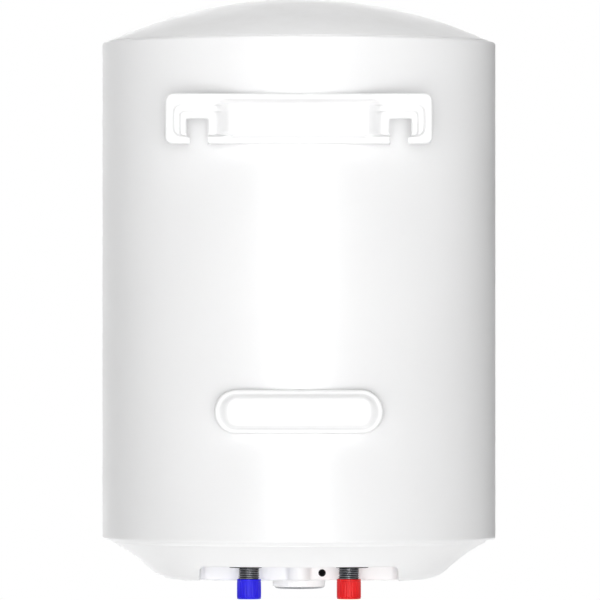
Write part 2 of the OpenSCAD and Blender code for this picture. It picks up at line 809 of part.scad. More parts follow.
module terminal_block() {
    color("ivory") at_axis() translate([block_x, block_y, floor_z + block_h]) difference() {
        translate([-9, -21, 0]) cube([18, 36, 14]);
        for (i = [0:2]) translate([0, -15 + 12 * i, 0]) {
            translate([0, 0, 6]) rotate([0, 90, 0]) cylinder(r = 2, h = 20, center = true);
            translate([0, 0, 9]) cylinder(r = 2.4, h = 6);
        }
    }
}

// Wire routes, with heights above the cover's underside. They start at a way of the terminal block, at an
// element's end or at the lamp, and end just short of what they serve.
wire_r = 1.3;
way = [for (i = [0:2]) [block_x + 9.2, block_y - 15 + 12 * i, block_h + 6]];
live_route = [way[0], way[0] + [8, -1, 3], [-37, -27, 25], [-29, -29.5, 29], [-22.2, -30, 30]];
neutral_route = [way[1], way[1] + [9, 0, 6], [-38, -10, 25], [-30, -13, 31], [-25, -16, 34]];
earth_route = [way[2], way[2] + [9, 2, 4], [-36, 4, 25], [-26, 14, 33], [-12, 16, 38], [-4.6, 9, 45]];
element_route = [[21.8, -28, 31], [28, -28, 30], [32, -22, 31], [29, -17, 33], [25, -16, 34]];
lamp_route = [[2, lens_y, 20], [3, lens_y + 2, 29], [3, -66, 34], [3, -58, 35], [3, -52, 34]];

module at_floor() at_axis() translate([0, 0, floor_z]) children();

module live_wire() color("saddlebrown") at_floor() wire(live_route, wire_r);
module neutral_wire() color("royalblue") at_floor() wire(neutral_route, wire_r);
module earth_wire() color("green") at_floor() wire(earth_route, wire_r);
module element_wires() color("saddlebrown") at_floor() wire(element_route, wire_r);
module lamp_wires() {
    color("dimgray") at_floor() for (side = [-1, 1]) wire([for (p = lamp_route) [side * p[0], p[1], p[2]]], 0.9);
}

// ---- The assembly ----

outer_shell();
top_cover();
bottom_cover();
pipe_bay_tray();
bay_end_walls();
cord_entry_panel();
base_ring();
cover_screws();
insulation_foam();
tank_barrel();
tank_top_head();
tank_bottom_head();
bracket_saddle();
bracket_legs();
wall_bracket();
wall_spacer();
cold_inlet_pipe();
hot_outlet_pipe();
hot_standpipe();
inlet_diffuser();
cold_pipe_collar();
hot_pipe_collar();
cold_thread_cap();
hot_thread_cap();
flange_neck();
flange_studs();
flange_gasket();
flange_plate();
flange_nuts();
heating_element();
element_bushings();
element_terminals();
magnesium_anode();
anode_nut();
sensor_well();
thermostat_rod();
thermostat_body();
reset_button();
thermostat_spindle();
temperature_knob();
knob_trim_ring();
indicator_lens();
neon_lamp();
cord_grommet();
cord_clamp();
clamp_screws();
terminal_block();
live_wire();
neutral_wire();
earth_wire();
element_wires();
lamp_wires();
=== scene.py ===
"""Looks of a round, wall-hung storage water heater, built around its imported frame.

Lengths are in metres. X runs along the wall, Z is up, and the wall is the plane y = 0, so the heater's
front faces -Y and its bracket side faces +Y.
"""

import json
import math

import bmesh
import bpy
from bpy.props import FloatProperty, FloatVectorProperty, IntProperty, PointerProperty
from mathutils import Matrix, Vector
from mathutils.geometry import delaunay_2d_cdt


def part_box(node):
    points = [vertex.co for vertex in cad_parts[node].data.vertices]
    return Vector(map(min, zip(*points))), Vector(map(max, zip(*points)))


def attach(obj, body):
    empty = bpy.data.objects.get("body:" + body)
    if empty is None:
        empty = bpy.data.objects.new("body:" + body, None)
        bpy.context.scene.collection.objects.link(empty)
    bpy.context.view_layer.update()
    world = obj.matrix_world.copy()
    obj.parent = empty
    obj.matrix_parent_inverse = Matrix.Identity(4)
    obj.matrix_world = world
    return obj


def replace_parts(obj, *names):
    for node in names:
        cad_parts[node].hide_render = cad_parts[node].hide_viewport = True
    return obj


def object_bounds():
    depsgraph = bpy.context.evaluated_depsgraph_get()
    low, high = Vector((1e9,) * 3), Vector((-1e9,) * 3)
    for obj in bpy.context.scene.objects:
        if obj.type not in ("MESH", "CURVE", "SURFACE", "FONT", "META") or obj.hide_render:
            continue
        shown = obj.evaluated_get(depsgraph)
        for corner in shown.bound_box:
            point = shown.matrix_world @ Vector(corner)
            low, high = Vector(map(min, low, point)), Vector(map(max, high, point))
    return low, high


bl_info = {
    "name": "Wall-hung water heater",
    "version": (1, 0, 0),
    "blender": (4, 5, 0),
    "location": "View3D > Sidebar > Water heater",
    "description": "Builds the casing, covers, bracket, pipes, knob and finishes of a storage water heater",
    "category": "Add Mesh",
}

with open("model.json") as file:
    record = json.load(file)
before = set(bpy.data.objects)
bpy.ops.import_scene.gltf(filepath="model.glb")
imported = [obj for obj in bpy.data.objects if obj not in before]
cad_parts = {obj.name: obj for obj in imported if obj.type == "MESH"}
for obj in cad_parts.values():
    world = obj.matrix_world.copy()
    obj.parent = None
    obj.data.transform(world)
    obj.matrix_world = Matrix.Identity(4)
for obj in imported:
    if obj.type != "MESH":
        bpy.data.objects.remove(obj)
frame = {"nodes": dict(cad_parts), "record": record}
CAD_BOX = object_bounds()

MM = 0.001

# ---- Places taken from the frame ----

SHELL_LOW, SHELL_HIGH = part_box("outer_shell")
CASING_R = (SHELL_HIGH.x - SHELL_LOW.x) / 2
AXIS_Y = (SHELL_HIGH.y + SHELL_LOW.y) / 2
CASING_TOP = SHELL_HIGH.z
CASING_BOTTOM = SHELL_LOW.z
LIP_R = CASING_R - 6 * MM                     # inner edge of the casing's rolled lips
DOME_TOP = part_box("top_cover")[1].z
FLOOR_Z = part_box("bottom_cover")[0].z
BAY_Z = FLOOR_Z + 17 * MM                     # the pipe bay's ceiling
BAY_HALF_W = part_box("cord_entry_panel")[1].x
BAY_FRONT = 18 * MM                           # its front wall, behind the vessel's axis
BAY_CORNER_R = 6 * MM
RIB_R = 11 * MM                               # half-round rib on the bay's front wall
PIPE_X = sum(corner.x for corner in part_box("cold_inlet_pipe")) / 2
PIPE_BACK = sum(corner.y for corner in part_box("cold_inlet_pipe")) / 2 - AXIS_Y
KNOB_LOW, KNOB_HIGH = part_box("temperature_knob")
KNOB_FRONT = (KNOB_LOW.y + KNOB_HIGH.y) / 2 - AXIS_Y
LENS_LOW, LENS_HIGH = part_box("indicator_lens")
LENS_FRONT = (LENS_LOW.y + LENS_HIGH.y) / 2 - AXIS_Y
GROMMET_LOW, GROMMET_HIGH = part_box("cord_grommet")
FRONT_SCREWS = (88 * MM, -62 * MM)
REAR_SCREWS = (80 * MM, 62 * MM)
CORD_HOLE_R = 3.6 * MM                        # hole in the bay's wall
CORD_WAY_R = 3.2 * MM                         # way through its grommet


# ---- Settings ----


class HeaterShape(bpy.types.PropertyGroup):
    """Sizes that change the look of the heater's pieces, inside the space that the frame gives them"""

    rolled_edge: FloatProperty(
        name="Rolled edge", description="Radius of the casing's rolled edges",
        default=3 * MM, min=1 * MM, max=4 * MM, unit="LENGTH")
    cover_rim: FloatProperty(
        name="Cover rim", description="Radius of the top cover's rim",
        default=1.4 * MM, min=0.4 * MM, max=2 * MM, unit="LENGTH")
    bay_fold: FloatProperty(
        name="Bay fold", description="Radius where the bottom cover turns up into the pipe bay",
        default=2.2 * MM, min=1 * MM, max=3 * MM, unit="LENGTH")
    bay_root: FloatProperty(
        name="Bay root", description="Radius between the pipe bay's walls and its ceiling",
        default=1.7 * MM, min=1 * MM, max=3 * MM, unit="LENGTH")
    cover_gauge: FloatProperty(
        name="Cover thickness", description="Wall thickness of the moulded bottom cover",
        default=1.8 * MM, min=1 * MM, max=2.4 * MM, unit="LENGTH")
    sheet_gauge: FloatProperty(
        name="Bracket sheet", description="Thickness of the bracket's pressed steel",
        default=2.0 * MM, min=1 * MM, max=2.2 * MM, unit="LENGTH")
    sheet_bend: FloatProperty(
        name="Sheet bend", description="Outer bend radius of the bracket's turned edge",
        default=2.6 * MM, min=2.2 * MM, max=4 * MM, unit="LENGTH")
    thread_pitch: FloatProperty(
        name="Thread pitch", description="Pitch of the pipes' parallel thread",
        default=1.814 * MM, min=1 * MM, max=3 * MM, unit="LENGTH")
    thread_depth: FloatProperty(
        name="Thread depth", description="Depth of the pipes' thread",
        default=1.1 * MM, min=0.5 * MM, max=1.16 * MM, unit="LENGTH")
    cap_ribs: IntProperty(
        name="Cap ribs", description="Number of grip ribs around each thread cap",
        default=26, min=12, max=90)
    dial_marks: IntProperty(
        name="Dial marks", description="Number of raised marks around the temperature knob",
        default=9, min=5, max=15)


def colour_setting(name, description, default):
    """A property that holds one of the heater's colours."""
    return FloatVectorProperty(
        name=name, description=description, default=default, size=3, min=0, max=1, subtype="COLOR")


class HeaterColours(bpy.types.PropertyGroup):
    """Colours of the heater's finishes"""

    enamel: colour_setting("Enamel", "Casing and bracket", (0.87, 0.87, 0.873))
    cover: colour_setting("Covers", "Moulded covers and knob", (0.90, 0.90, 0.902))
    blue_cap: colour_setting("Cold cap", "Cap of the cold water pipe", (0.020, 0.013, 0.71))
    red_cap: colour_setting("Hot cap", "Cap of the hot water pipe", (0.72, 0.012, 0.014))
    thread: colour_setting("Pipe steel", "Threaded pipes", (0.34, 0.345, 0.37))
    rubber: colour_setting("Rubber", "Collars, gasket and grommet", (0.008, 0.008, 0.009))
    foam: colour_setting("Foam", "Insulation", (0.74, 0.60, 0.34))
    tank: colour_setting("Tank enamel", "Inner tank", (0.20, 0.27, 0.36))


class HeaterStage(bpy.types.PropertyGroup):
    """Camera, lights and floor"""

    camera_distance: FloatProperty(
        name="Camera distance", description="From the vessel's axis to the camera",
        default=7.9, min=2, max=20, unit="LENGTH")
    lens: FloatProperty(
        name="Lens", description="Focal length of the camera, in millimetres", default=470.4, min=50, max=800)
    backdrop: FloatProperty(
        name="Backdrop", description="Brightness of the backdrop behind the heater",
        default=1.0, min=0, max=2)
    floor_drop: FloatProperty(
        name="Floor drop", description="From the heater's lowest point down to the floor",
        default=1.2, min=0.2, max=3, unit="LENGTH")
    floor_size: FloatProperty(
        name="Floor size", description="Width of the floor", default=7, min=2, max=8, unit="LENGTH")


# ---- Mesh helpers ----


def new_piece(name, mesh, body, finish):
    """Puts a mesh in the scene, smooth, with its finish, riding on a body."""
    piece = bpy.data.objects.new(name, mesh)
    bpy.context.scene.collection.objects.link(piece)
    piece.data.materials.append(finish)
    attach(piece, body)
    return piece


def smooth(mesh, angle=32):
    """Smooth shading that keeps edges sharper than angle degrees."""
    mesh.shade_smooth()
    mesh.set_sharp_from_angle(angle=math.radians(angle))
    return mesh


def mesh_from(name, build):
    """A mesh from a bmesh, with doubles merged and its faces turned outwards."""
    bmesh.ops.remove_doubles(build, verts=build.verts, dist=1e-6)
    bmesh.ops.dissolve_degenerate(build, edges=build.edges, dist=1e-7)
    bmesh.ops.recalc_face_normals(build, faces=build.faces)
    mesh = bpy.data.meshes.new(name)
    build.to_mesh(mesh)
    build.free()
    return mesh


def arc(centre, radius, start, end, steps=8):
    """Points (radius, height) on an arc, angles in degrees."""
    return [
        (centre[0] + radius * math.cos(math.radians(start + (end - start) * i / steps)),
         centre[1] + radius * math.sin(math.radians(start + (end - start) * i / steps)))
        for i in range(steps + 1)
    ]


def lathe(build, outline, centre, segments=96, closed=True, radius=None):
    """Adds a turned shape to build. radius(angle, r, z) may change the radius around the shape."""
    rows = []
    for r, z in outline:
        if r < 1e-7:
            rows.append([build.verts.new((centre[0], centre[1], z))])
            continue
        row = []
        for i in range(segments):
            angle = 2 * math.pi * i / segments
            reach = radius(angle, r, z) if radius else r
            row.append(build.verts.new(
                (centre[0] + reach * math.cos(angle), centre[1] + reach * math.sin(angle), z)))
        rows.append(row)
    pairs = list(zip(rows, rows[1:]))
    if closed:
        pairs.append((rows[-1], rows[0]))
    for a, b in pairs:
        for i in range(segments):
            j = (i + 1) % segments
            corners = [a[i % len(a)], a[j % len(a)], b[j % len(b)], b[i % len(b)]]
            corners = [v for k, v in enumerate(corners) if v not in corners[:k]]
            if len(corners) > 2:
                build.faces.new(corners)


def turned(name, outline, centre, segments=96, closed=True, radius=None, angle=32):
    """A smooth mesh turned from an outline around an upright axis."""
    build = bmesh.new()
    lathe(build, outline, centre, segments, closed, radius)
    return smooth(mesh_from(name, build), angle)


def applied(piece):
    """Bakes a piece's modifiers into its mesh."""
    bpy.context.view_layer.update()
    shown = piece.evaluated_get(bpy.context.evaluated_depsgraph_get())
    mesh = bpy.data.meshes.new_from_object(shown)
    piece.modifiers.clear()
    piece.data = mesh
    return piece


def thicken(piece, gauge, offset=-1):
    """Gives a one-sided sheet its thickness, measured inwards from its outer face."""
    solid = piece.modifiers.new("Sheet", "SOLIDIFY")
    solid.thickness = gauge
    solid.offset = offset
    solid.use_even_offset = True
    solid.use_quality_normals = True
    return piece


def lay_along_y(build):
    """Turns an upright lathed shape so that its axis runs along Y."""
    turn = Matrix.Rotation(math.radians(-90), 3, "X")
    bmesh.ops.rotate(build, verts=build.verts, cent=(0, 0, 0), matrix=turn)


def smoothstep(t):
    """Soft step from 0 to 1 as t goes from 0 to 1."""
    t = min(max(t, 0), 1)
    return t * t * (3 - 2 * t)


def soft_max(a, b, blend):
    """The larger of two values, rounded where they're close."""
    h = max(blend - abs(a - b), 0) / blend
    return max(a, b) + h * h * blend / 4


def run(start, end, step):
    """Evenly spaced numbers from start to end, at most step apart."""
    count = max(int(math.ceil(abs(end - start) / step)), 1)
    return [start + (end - start) * i / count for i in range(count + 1)]


def rounded_loop(x_low, x_high, z_low, z_high, radius, inset, step):
    """A closed rounded rectangle, in by inset, with points at most step apart."""
    r = max(radius - inset, 0.05 * MM)
    x_low, x_high, z_low, z_high = x_low + inset, x_high - inset, z_low + inset, z_high - inset
    corners = [(x_high - r, z_high - r, 0), (x_low + r, z_high - r, 90),
               (x_low + r, z_low + r, 180), (x_high - r, z_low + r, 270)]
    points = []
    for i, (cx, cz, start) in enumerate(corners):
        bend = arc((cx, cz), r, start, start + 90, max(3, int(r / (0.7 * MM)) + 3))
        nx, nz, nstart = corners[(i + 1) % 4]
        first = (nx + r * math.cos(math.radians(nstart)), nz + r * math.sin(math.radians(nstart)))
        last = bend[-1]
        count = max(int(math.hypot(first[0] - last[0], first[1] - last[1]) / step), 1)
        points += bend[:-1]
        points += [(last[0] + (first[0] - last[0]) * k / count, last[1] + (first[1] - last[1]) * k / count)
                   for k in range(count)]
    return points


def rounded_inset(x, z, x_low, x_high, z_low, z_high, radius):
    """How far a point lies inside a rounded rectangle; negative outside."""
    qx = abs(x - (x_low + x_high) / 2) - (x_high - x_low) / 2 + radius
    qz = abs(z - (z_low + z_high) / 2) - (z_high - z_low) / 2 + radius
    return radius - math.hypot(max(qx, 0), max(qz, 0)) - min(max(qx, qz), 0)


def plan_mesh(name, loops, chains, points, place, keep):
    """A surface over a flat plan.

    loops and chains are closed and open lines of plan points that the triangles follow, and points are
    free ones. place turns a plan point into its place in space, and keep drops what isn't part of it.
    """
    verts, edges = [], []
    for line, closed in [(loop, True) for loop in loops] + [(chain, False) for chain in chains]:
        start = len(verts)
        verts += line
        edges += [(start + i, start + i + 1) for i in range(len(line) - 1)]
        if closed:
            edges.append((start + len(line) - 1, start))
    verts += points
    found = delaunay_2d_cdt([Vector(v) for v in verts], edges, [], 0, 1e-6)
    build = bmesh.new()
    made = {}
    for face in found[2]:
        corners = [found[0][i] for i in face]
        middle = sum(corners, Vector((0, 0))) / len(corners)
        if not keep(middle.x, middle.y):
            continue
        for i, corner in zip(face, corners):
            if i not in made:
                made[i] = build.verts.new(place(corner.x, corner.y))
        build.faces.new([made[i] for i in face])
    bmesh.ops.dissolve_degenerate(build, edges=build.edges, dist=1e-7)
    mesh = bpy.data.meshes.new(name)
    build.to_mesh(mesh)
    build.free()
    return mesh


# ---- Shader helpers ----


def node(tree, kind, **settings):
    """Adds a node to a tree, with its settings."""
    made = tree.nodes.new(kind)
    for name, value in settings.items():
        setattr(made, name, value)
    return made


def feed(tree, socket, source):
    """Links a socket to another, or sets it to a value."""
    if isinstance(source, bpy.types.NodeSocket):
        tree.links.new(source, socket)
    elif socket.type == "RGBA" and len(source) == 3:
        socket.default_value = (*source, 1)
    else:
        socket.default_value = source


def calc(tree, operation, *values, clamp=False):
    """Adds a Math node; returns its result."""
    made = node(tree, "ShaderNodeMath", operation=operation, use_clamp=clamp)
    for socket, value in zip(made.inputs, values):
        feed(tree, socket, value)
    return made.outputs[0]


def blend_colours(tree, factor, a, b):
    """Mixes colour a into colour b by a factor."""
    made = node(tree, "ShaderNodeMix", data_type="RGBA")
    feed(tree, made.inputs[0], factor)
    feed(tree, made.inputs[6], a)
    feed(tree, made.inputs[7], b)
    return made.outputs[2]


def spread(tree, value, low, high, to_low=0, to_high=1):
    """Maps a range of values onto another, clamped."""
    made = node(tree, "ShaderNodeMapRange", clamp=True)
    for socket, number in zip(made.inputs, (value, low, high, to_low, to_high)):
        feed(tree, socket, number)
    return made.outputs[0]


def noise(tree, vector, scale, detail=3, roughness=0.5):
    """Adds a Noise Texture; returns its value."""
    made = node(tree, "ShaderNodeTexNoise")
    feed(tree, made.inputs["Vector"], vector)
    feed(tree, made.inputs["Scale"], scale)
    feed(tree, made.inputs["Detail"], detail)
    feed(tree, made.inputs["Roughness"], roughness)
    return made.outputs[0]


def shared_group(name, inputs, output_names, fill):
    """A shader node group, built once. inputs are (name, kind, default); fill returns its outputs."""
    found = bpy.data.node_groups.get(name)
    if found:
        return found
    group = bpy.data.node_groups.new(name, "ShaderNodeTree")
    for label, kind, default in inputs:
        socket = group.interface.new_socket(label, in_out="INPUT", socket_type=kind)
        socket.default_value = default
    for label, kind in output_names:
        group.interface.new_socket(label, in_out="OUTPUT", socket_type=kind)
    enter = node(group, "NodeGroupInput")
    leave = node(group, "NodeGroupOutput")
    where = node(group, "ShaderNodeTexCoord").outputs["Object"]
    for socket, source in zip(leave.inputs, fill(group, enter.outputs, where)):
        feed(group, socket, source)
    return group


FLOAT = "NodeSocketFloat"
COLOUR = "NodeSocketColor"


def mottle_group():
    """Slow drift between two close colours."""

    def fill(tree, given, where):
        slow = noise(tree, where, given["Scale"], 4, 0.55)
        mask = calc(tree, "MULTIPLY", spread(tree, slow, 0.35, 0.68), given["Amount"])
        return [blend_colours(tree, mask, given["Colour"], given["Shade"]), mask]

    return shared_group(
        "Colour mottle",
        [("Colour", COLOUR, (0.8, 0.8, 0.8, 1)), ("Shade", COLOUR, (0.7, 0.7, 0.7, 1)),
         ("Scale", FLOAT, 12), ("Amount", FLOAT, 1)],
        [("Colour", COLOUR), ("Mask", FLOAT)], fill)


def polish_group():
    """Patches that are smoother or duller from handling."""

    def fill(tree, given, where):
        coarse = noise(tree, where, given["Scale"], 5, 0.6)
        fine = noise(tree, where, calc(tree, "MULTIPLY", given["Scale"], 9), 2, 0.5)
        mixed = calc(tree, "ADD", calc(tree, "MULTIPLY", coarse, 0.75), calc(tree, "MULTIPLY", fine, 0.25))
        return [spread(tree, mixed, 0.36, 0.64, given["Smooth"], given["Dull"])]

    return shared_group(
        "Patchy polish",
        [("Smooth", FLOAT, 0.3), ("Dull", FLOAT, 0.4), ("Scale", FLOAT, 20)],
        [("Roughness", FLOAT)], fill)


def peel_group():
    """The faint ripple of sprayed enamel."""

    def fill(tree, given, where):
        broad = noise(tree, where, given["Scale"], 1, 0.4)
        fine = noise(tree, where, calc(tree, "MULTIPLY", given["Scale"], 3.1), 2, 0.5)
        return [calc(tree, "ADD", calc(tree, "MULTIPLY", broad, 0.8), calc(tree, "MULTIPLY", fine, 0.2))]

    return shared_group("Orange peel", [("Scale", FLOAT, 400)], [("Height", FLOAT)], fill)


def grain_group():
    """The etched grain of moulded plastic and rubber."""

    def fill(tree, given, where):
        cells = node(tree, "ShaderNodeTexVoronoi", feature="F1")
        feed(tree, cells.inputs["Vector"], where)
        feed(tree, cells.inputs["Scale"], given["Scale"])
        soft = noise(tree, where, calc(tree, "MULTIPLY", given["Scale"], 0.6), 2, 0.5)
        pits = calc(tree, "MULTIPLY", cells.outputs[0], 0.6)
        return [calc(tree, "ADD", pits, calc(tree, "MULTIPLY", soft, 0.5))]

    return shared_group("Moulded grain", [("Scale", FLOAT, 1500)], [("Height", FLOAT)], fill)


def dust_group():
    """Dust that settles on faces that look up."""

    def fill(tree, given, where):
        normal = node(tree, "ShaderNodeNewGeometry").outputs["Normal"]
        split = node(tree, "ShaderNodeSeparateXYZ")
        feed(tree, split.inputs[0], normal)
        up = spread(tree, split.outputs["Z"], 0.55, 1)
        patches = spread(tree, noise(tree, where, given["Scale"], 6, 0.65), 0.38, 0.66)
        return [calc(tree, "MULTIPLY", calc(tree, "MULTIPLY", up, patches), given["Amount"])]

    return shared_group(
        "Settled dust", [("Scale", FLOAT, 30), ("Amount", FLOAT, 0.2)], [("Mask", FLOAT)], fill)


def wear_group():
    """A mask of the edges that rub bare first."""

    def fill(tree, given, where):
        edge = node(tree, "ShaderNodeNewGeometry").outputs["Pointiness"]
        sharp = spread(tree, edge, 0.53, 0.62)
        broken = spread(tree, noise(tree, where, given["Scale"], 4, 0.6), 0.35, 0.7)
        return [calc(tree, "MULTIPLY", calc(tree, "MULTIPLY", sharp, broken), given["Amount"], clamp=True)]

    return shared_group(
        "Edge wear", [("Scale", FLOAT, 300), ("Amount", FLOAT, 0.5)], [("Mask", FLOAT)], fill)


def painted_crease_shade_group():
    """Painted shade: colour that deepens where a surface folds inwards, as if shadowed there."""

    def fill(tree, given, where):
        edge = node(tree, "ShaderNodeNewGeometry").outputs["Pointiness"]
        fold = spread(tree, edge, given["From"], given["To"])
        return [blend_colours(tree, fold, given["Crease"], given["Colour"])]

    return shared_group(
        "Creases",
        [("Colour", COLOUR, (0.8, 0.8, 0.8, 1)), ("Crease", COLOUR, (0.6, 0.6, 0.6, 1)),
         ("From", FLOAT, 0.44), ("To", FLOAT, 0.495)],
        [("Colour", COLOUR)], fill)


def spangle_group():
    """Crystal flakes of a zinc coating."""

    def fill(tree, given, where):
        cells = node(tree, "ShaderNodeTexVoronoi", feature="F1")
        feed(tree, cells.inputs["Vector"], where)
        feed(tree, cells.inputs["Scale"], given["Scale"])
        split = node(tree, "ShaderNodeSeparateColor")
        feed(tree, split.inputs[0], cells.outputs["Color"])
        return [split.outputs[0], cells.outputs[0]]

    return shared_group(
        "Zinc spangle", [("Scale", FLOAT, 500)], [("Flake", FLOAT), ("Height", FLOAT)], fill)


def lines_group():
    """Fine turning or drawing lines, stacked along the height."""

    def fill(tree, given, where):
        stretch = node(tree, "ShaderNodeMapping")
        feed(tree, stretch.inputs["Vector"], where)
        stretch.inputs["Scale"].default_value = (0.04, 0.04, 1)
        fine = noise(tree, stretch.outputs[0], given["Scale"], 4, 0.7)
        return [fine]

    return shared_group("Drawn lines", [("Scale", FLOAT, 2500)], [("Height", FLOAT)], fill)


def use_group(tree, group, **given):
    """Places a shared group in a material with its own values; returns its outputs."""
    made = node(tree, "ShaderNodeGroup", node_tree=group)
    for label, value in given.items():
        feed(tree, made.inputs[label], value)
    return made.outputs


def start_finish(name):
    """A new material; returns it with its node tree and its Principled BSDF."""
    material = bpy.data.materials.new(name)
    material.use_nodes = True
    tree = material.node_tree
    return material, tree, tree.nodes["Principled BSDF"]


def relief(tree, shader, height, distance, strength=1.0):
    """Feeds a height to a shader as bump; distance is the relief's depth in metres."""
    bump = node(tree, "ShaderNodeBump")
    bump.inputs["Strength"].default_value = strength
    bump.inputs["Distance"].default_value = distance
    feed(tree, bump.inputs["Height"], height)
    feed(tree, shader.inputs["Normal"], bump.outputs[0])


def shaded(colour, factor):
    """The same colour, darker or lighter."""
    return tuple(channel * factor for channel in colour)


# ---- Finishes ----


def enamel_finish(colours):
    """Baked white enamel on sheet steel: faint ripple, slight dust on top, and painted shade that greys its
    folds.
    """
    material, tree, shader = start_finish("White enamel")
    base = use_group(tree, mottle_group(), Colour=(*colours.enamel, 1),
                     Shade=(*shaded(colours.enamel, 0.985), 1), Scale=6, Amount=1)["Colour"]
    dust = use_group(tree, dust_group(), Scale=24, Amount=0.10)["Mask"]
    dusty = blend_colours(tree, dust, base, (0.62, 0.60, 0.56))
    # Painted shade: the folds and pressed steps greyed as if shadowed.
    feed(tree, shader.inputs["Base Color"],
         use_group(tree, painted_crease_shade_group(), Colour=dusty, Crease=(0.52, 0.52, 0.52, 1),
                   From=0.43, To=0.494)["Colour"])
    polish = use_group(tree, polish_group(), Smooth=0.30, Dull=0.38, Scale=9)["Roughness"]
    feed(tree, shader.inputs["Roughness"], calc(tree, "ADD", polish, calc(tree, "MULTIPLY", dust, 0.8)))
    relief(tree, shader, use_group(tree, peel_group(), Scale=330)["Height"], 0.05 * MM)
    return material


def cover_finish(colours):
    """White moulded plastic with a fine etched grain."""
    material, tree, shader = start_finish("White moulding")
    base = use_group(tree, mottle_group(), Colour=(*colours.cover, 1),
                     Shade=(*shaded(colours.cover, 0.98), 1), Scale=9, Amount=1)["Colour"]
    dust = use_group(tree, dust_group(), Scale=30, Amount=0.12)["Mask"]
    feed(tree, shader.inputs["Base Color"], blend_colours(tree, dust, base, (0.60, 0.585, 0.55)))
    polish = use_group(tree, polish_group(), Smooth=0.40, Dull=0.48, Scale=14)["Roughness"]
    feed(tree, shader.inputs["Roughness"], calc(tree, "ADD", polish, calc(tree, "MULTIPLY", dust, 0.6)))
    relief(tree, shader, use_group(tree, grain_group(), Scale=1300)["Height"], 0.02 * MM)
    return material


def plastic_finish(name, colour, smooth_to, dull_to, gloss_grain=1600, depth=0.015):
    """Coloured moulded plastic, lighter where its edges are rubbed, with painted shade deepening its folds.
    """
    material, tree, shader = start_finish(name)
    base = use_group(tree, mottle_group(), Colour=(*colour, 1),
                     Shade=(*shaded(colour, 0.88), 1), Scale=70, Amount=0.8)["Colour"]
    wear = use_group(tree, wear_group(), Scale=500, Amount=0.25)["Mask"]
    pale = tuple(channel + (1 - channel) * 0.25 for channel in colour)
    worn = blend_colours(tree, wear, base, pale)
    # Painted shade for the folds.
    painted_fold_shade = tuple(channel * 0.25 for channel in colour)
    feed(tree, shader.inputs["Base Color"],
         use_group(tree, painted_crease_shade_group(), Colour=worn, Crease=(*painted_fold_shade, 1), From=0.42, To=0.49)["Colour"])
    feed(tree, shader.inputs["Roughness"],
         use_group(tree, polish_group(), Smooth=smooth_to, Dull=dull_to, Scale=90)["Roughness"])
    shader.inputs["Specular IOR Level"].default_value = 0.22
    relief(tree, shader, use_group(tree, grain_group(), Scale=gloss_grain)["Height"], depth * MM)
    return material


def thread_finish(colours):
    """Dark phosphated pipe steel, brighter on the crests from wear and a painted highlight, with painted
    shade near black in the roots.
    """
    material, tree, shader = start_finish("Pipe steel")
    base = use_group(tree, mottle_group(), Colour=(*colours.thread, 1),
                     Shade=(*shaded(colours.thread, 0.6), 1), Scale=160, Amount=1)["Colour"]
    # Rubbed wear, and a painted highlight on the thread crests.
    wear = use_group(tree, wear_group(), Scale=700, Amount=0.8)["Mask"]
    worn = blend_colours(tree, wear, base, (0.72, 0.73, 0.76))
    # Painted shade: the thread roots near black.
    feed(tree, shader.inputs["Base Color"],
         use_group(tree, painted_crease_shade_group(), Colour=worn, Crease=(0.002, 0.002, 0.003, 1),
                   From=0.47, To=0.53)["Colour"])
    shader.inputs["Metallic"].default_value = 0.85
    feed(tree, shader.inputs["Roughness"],
         use_group(tree, polish_group(), Smooth=0.30, Dull=0.48, Scale=240)["Roughness"])
    relief(tree, shader, use_group(tree, grain_group(), Scale=2600)["Height"], 0.02 * MM)
    return material


def zinc_finish():
    """Zinc-plated steel with fine flakes."""
    material, tree, shader = start_finish("Zinc-plated steel")
    flake = use_group(tree, spangle_group(), Scale=620)
    tone = blend_colours(tree, flake["Flake"], (0.50, 0.52, 0.55), (0.68, 0.69, 0.70))
    wear = use_group(tree, wear_group(), Scale=420, Amount=0.6)["Mask"]
    feed(tree, shader.inputs["Base Color"], blend_colours(tree, wear, tone, (0.80, 0.80, 0.80)))
    shader.inputs["Metallic"].default_value = 1
    feed(tree, shader.inputs["Roughness"], spread(tree, flake["Flake"], 0, 1, 0.27, 0.42))
    relief(tree, shader, flake["Height"], 0.01 * MM)
    return material


def metal_finish(name, colour, tarnish, smooth_to, dull_to):
    """Drawn metal with tarnished patches."""
    material, tree, shader = start_finish(name)
    base = use_group(tree, mottle_group(), Colour=(*colour, 1), Shade=(*tarnish, 1), Scale=55, Amount=0.9)
    feed(tree, shader.inputs["Base Color"], base["Colour"])
    shader.inputs["Metallic"].default_value = 1
    feed(tree, shader.inputs["Roughness"],
         use_group(tree, polish_group(), Smooth=smooth_to, Dull=dull_to, Scale=80)["Roughness"])
    relief(tree, shader, use_group(tree, lines_group(), Scale=2200)["Height"], 0.02 * MM)
    return material


def cast_finish():
    """Sand-grey cast magnesium."""
    material, tree, shader = start_finish("Cast magnesium")
    base = use_group(tree, mottle_group(), Colour=(0.46, 0.46, 0.45, 1), Shade=(0.30, 0.30, 0.29, 1),
                     Scale=90, Amount=1)["Colour"]
    feed(tree, shader.inputs["Base Color"], base)
    shader.inputs["Metallic"].default_value = 0.6
    feed(tree, shader.inputs["Roughness"],
         use_group(tree, polish_group(), Smooth=0.5, Dull=0.75, Scale=60)["Roughness"])
    relief(tree, shader, use_group(tree, grain_group(), Scale=420)["Height"], 0.15 * MM)
    return material


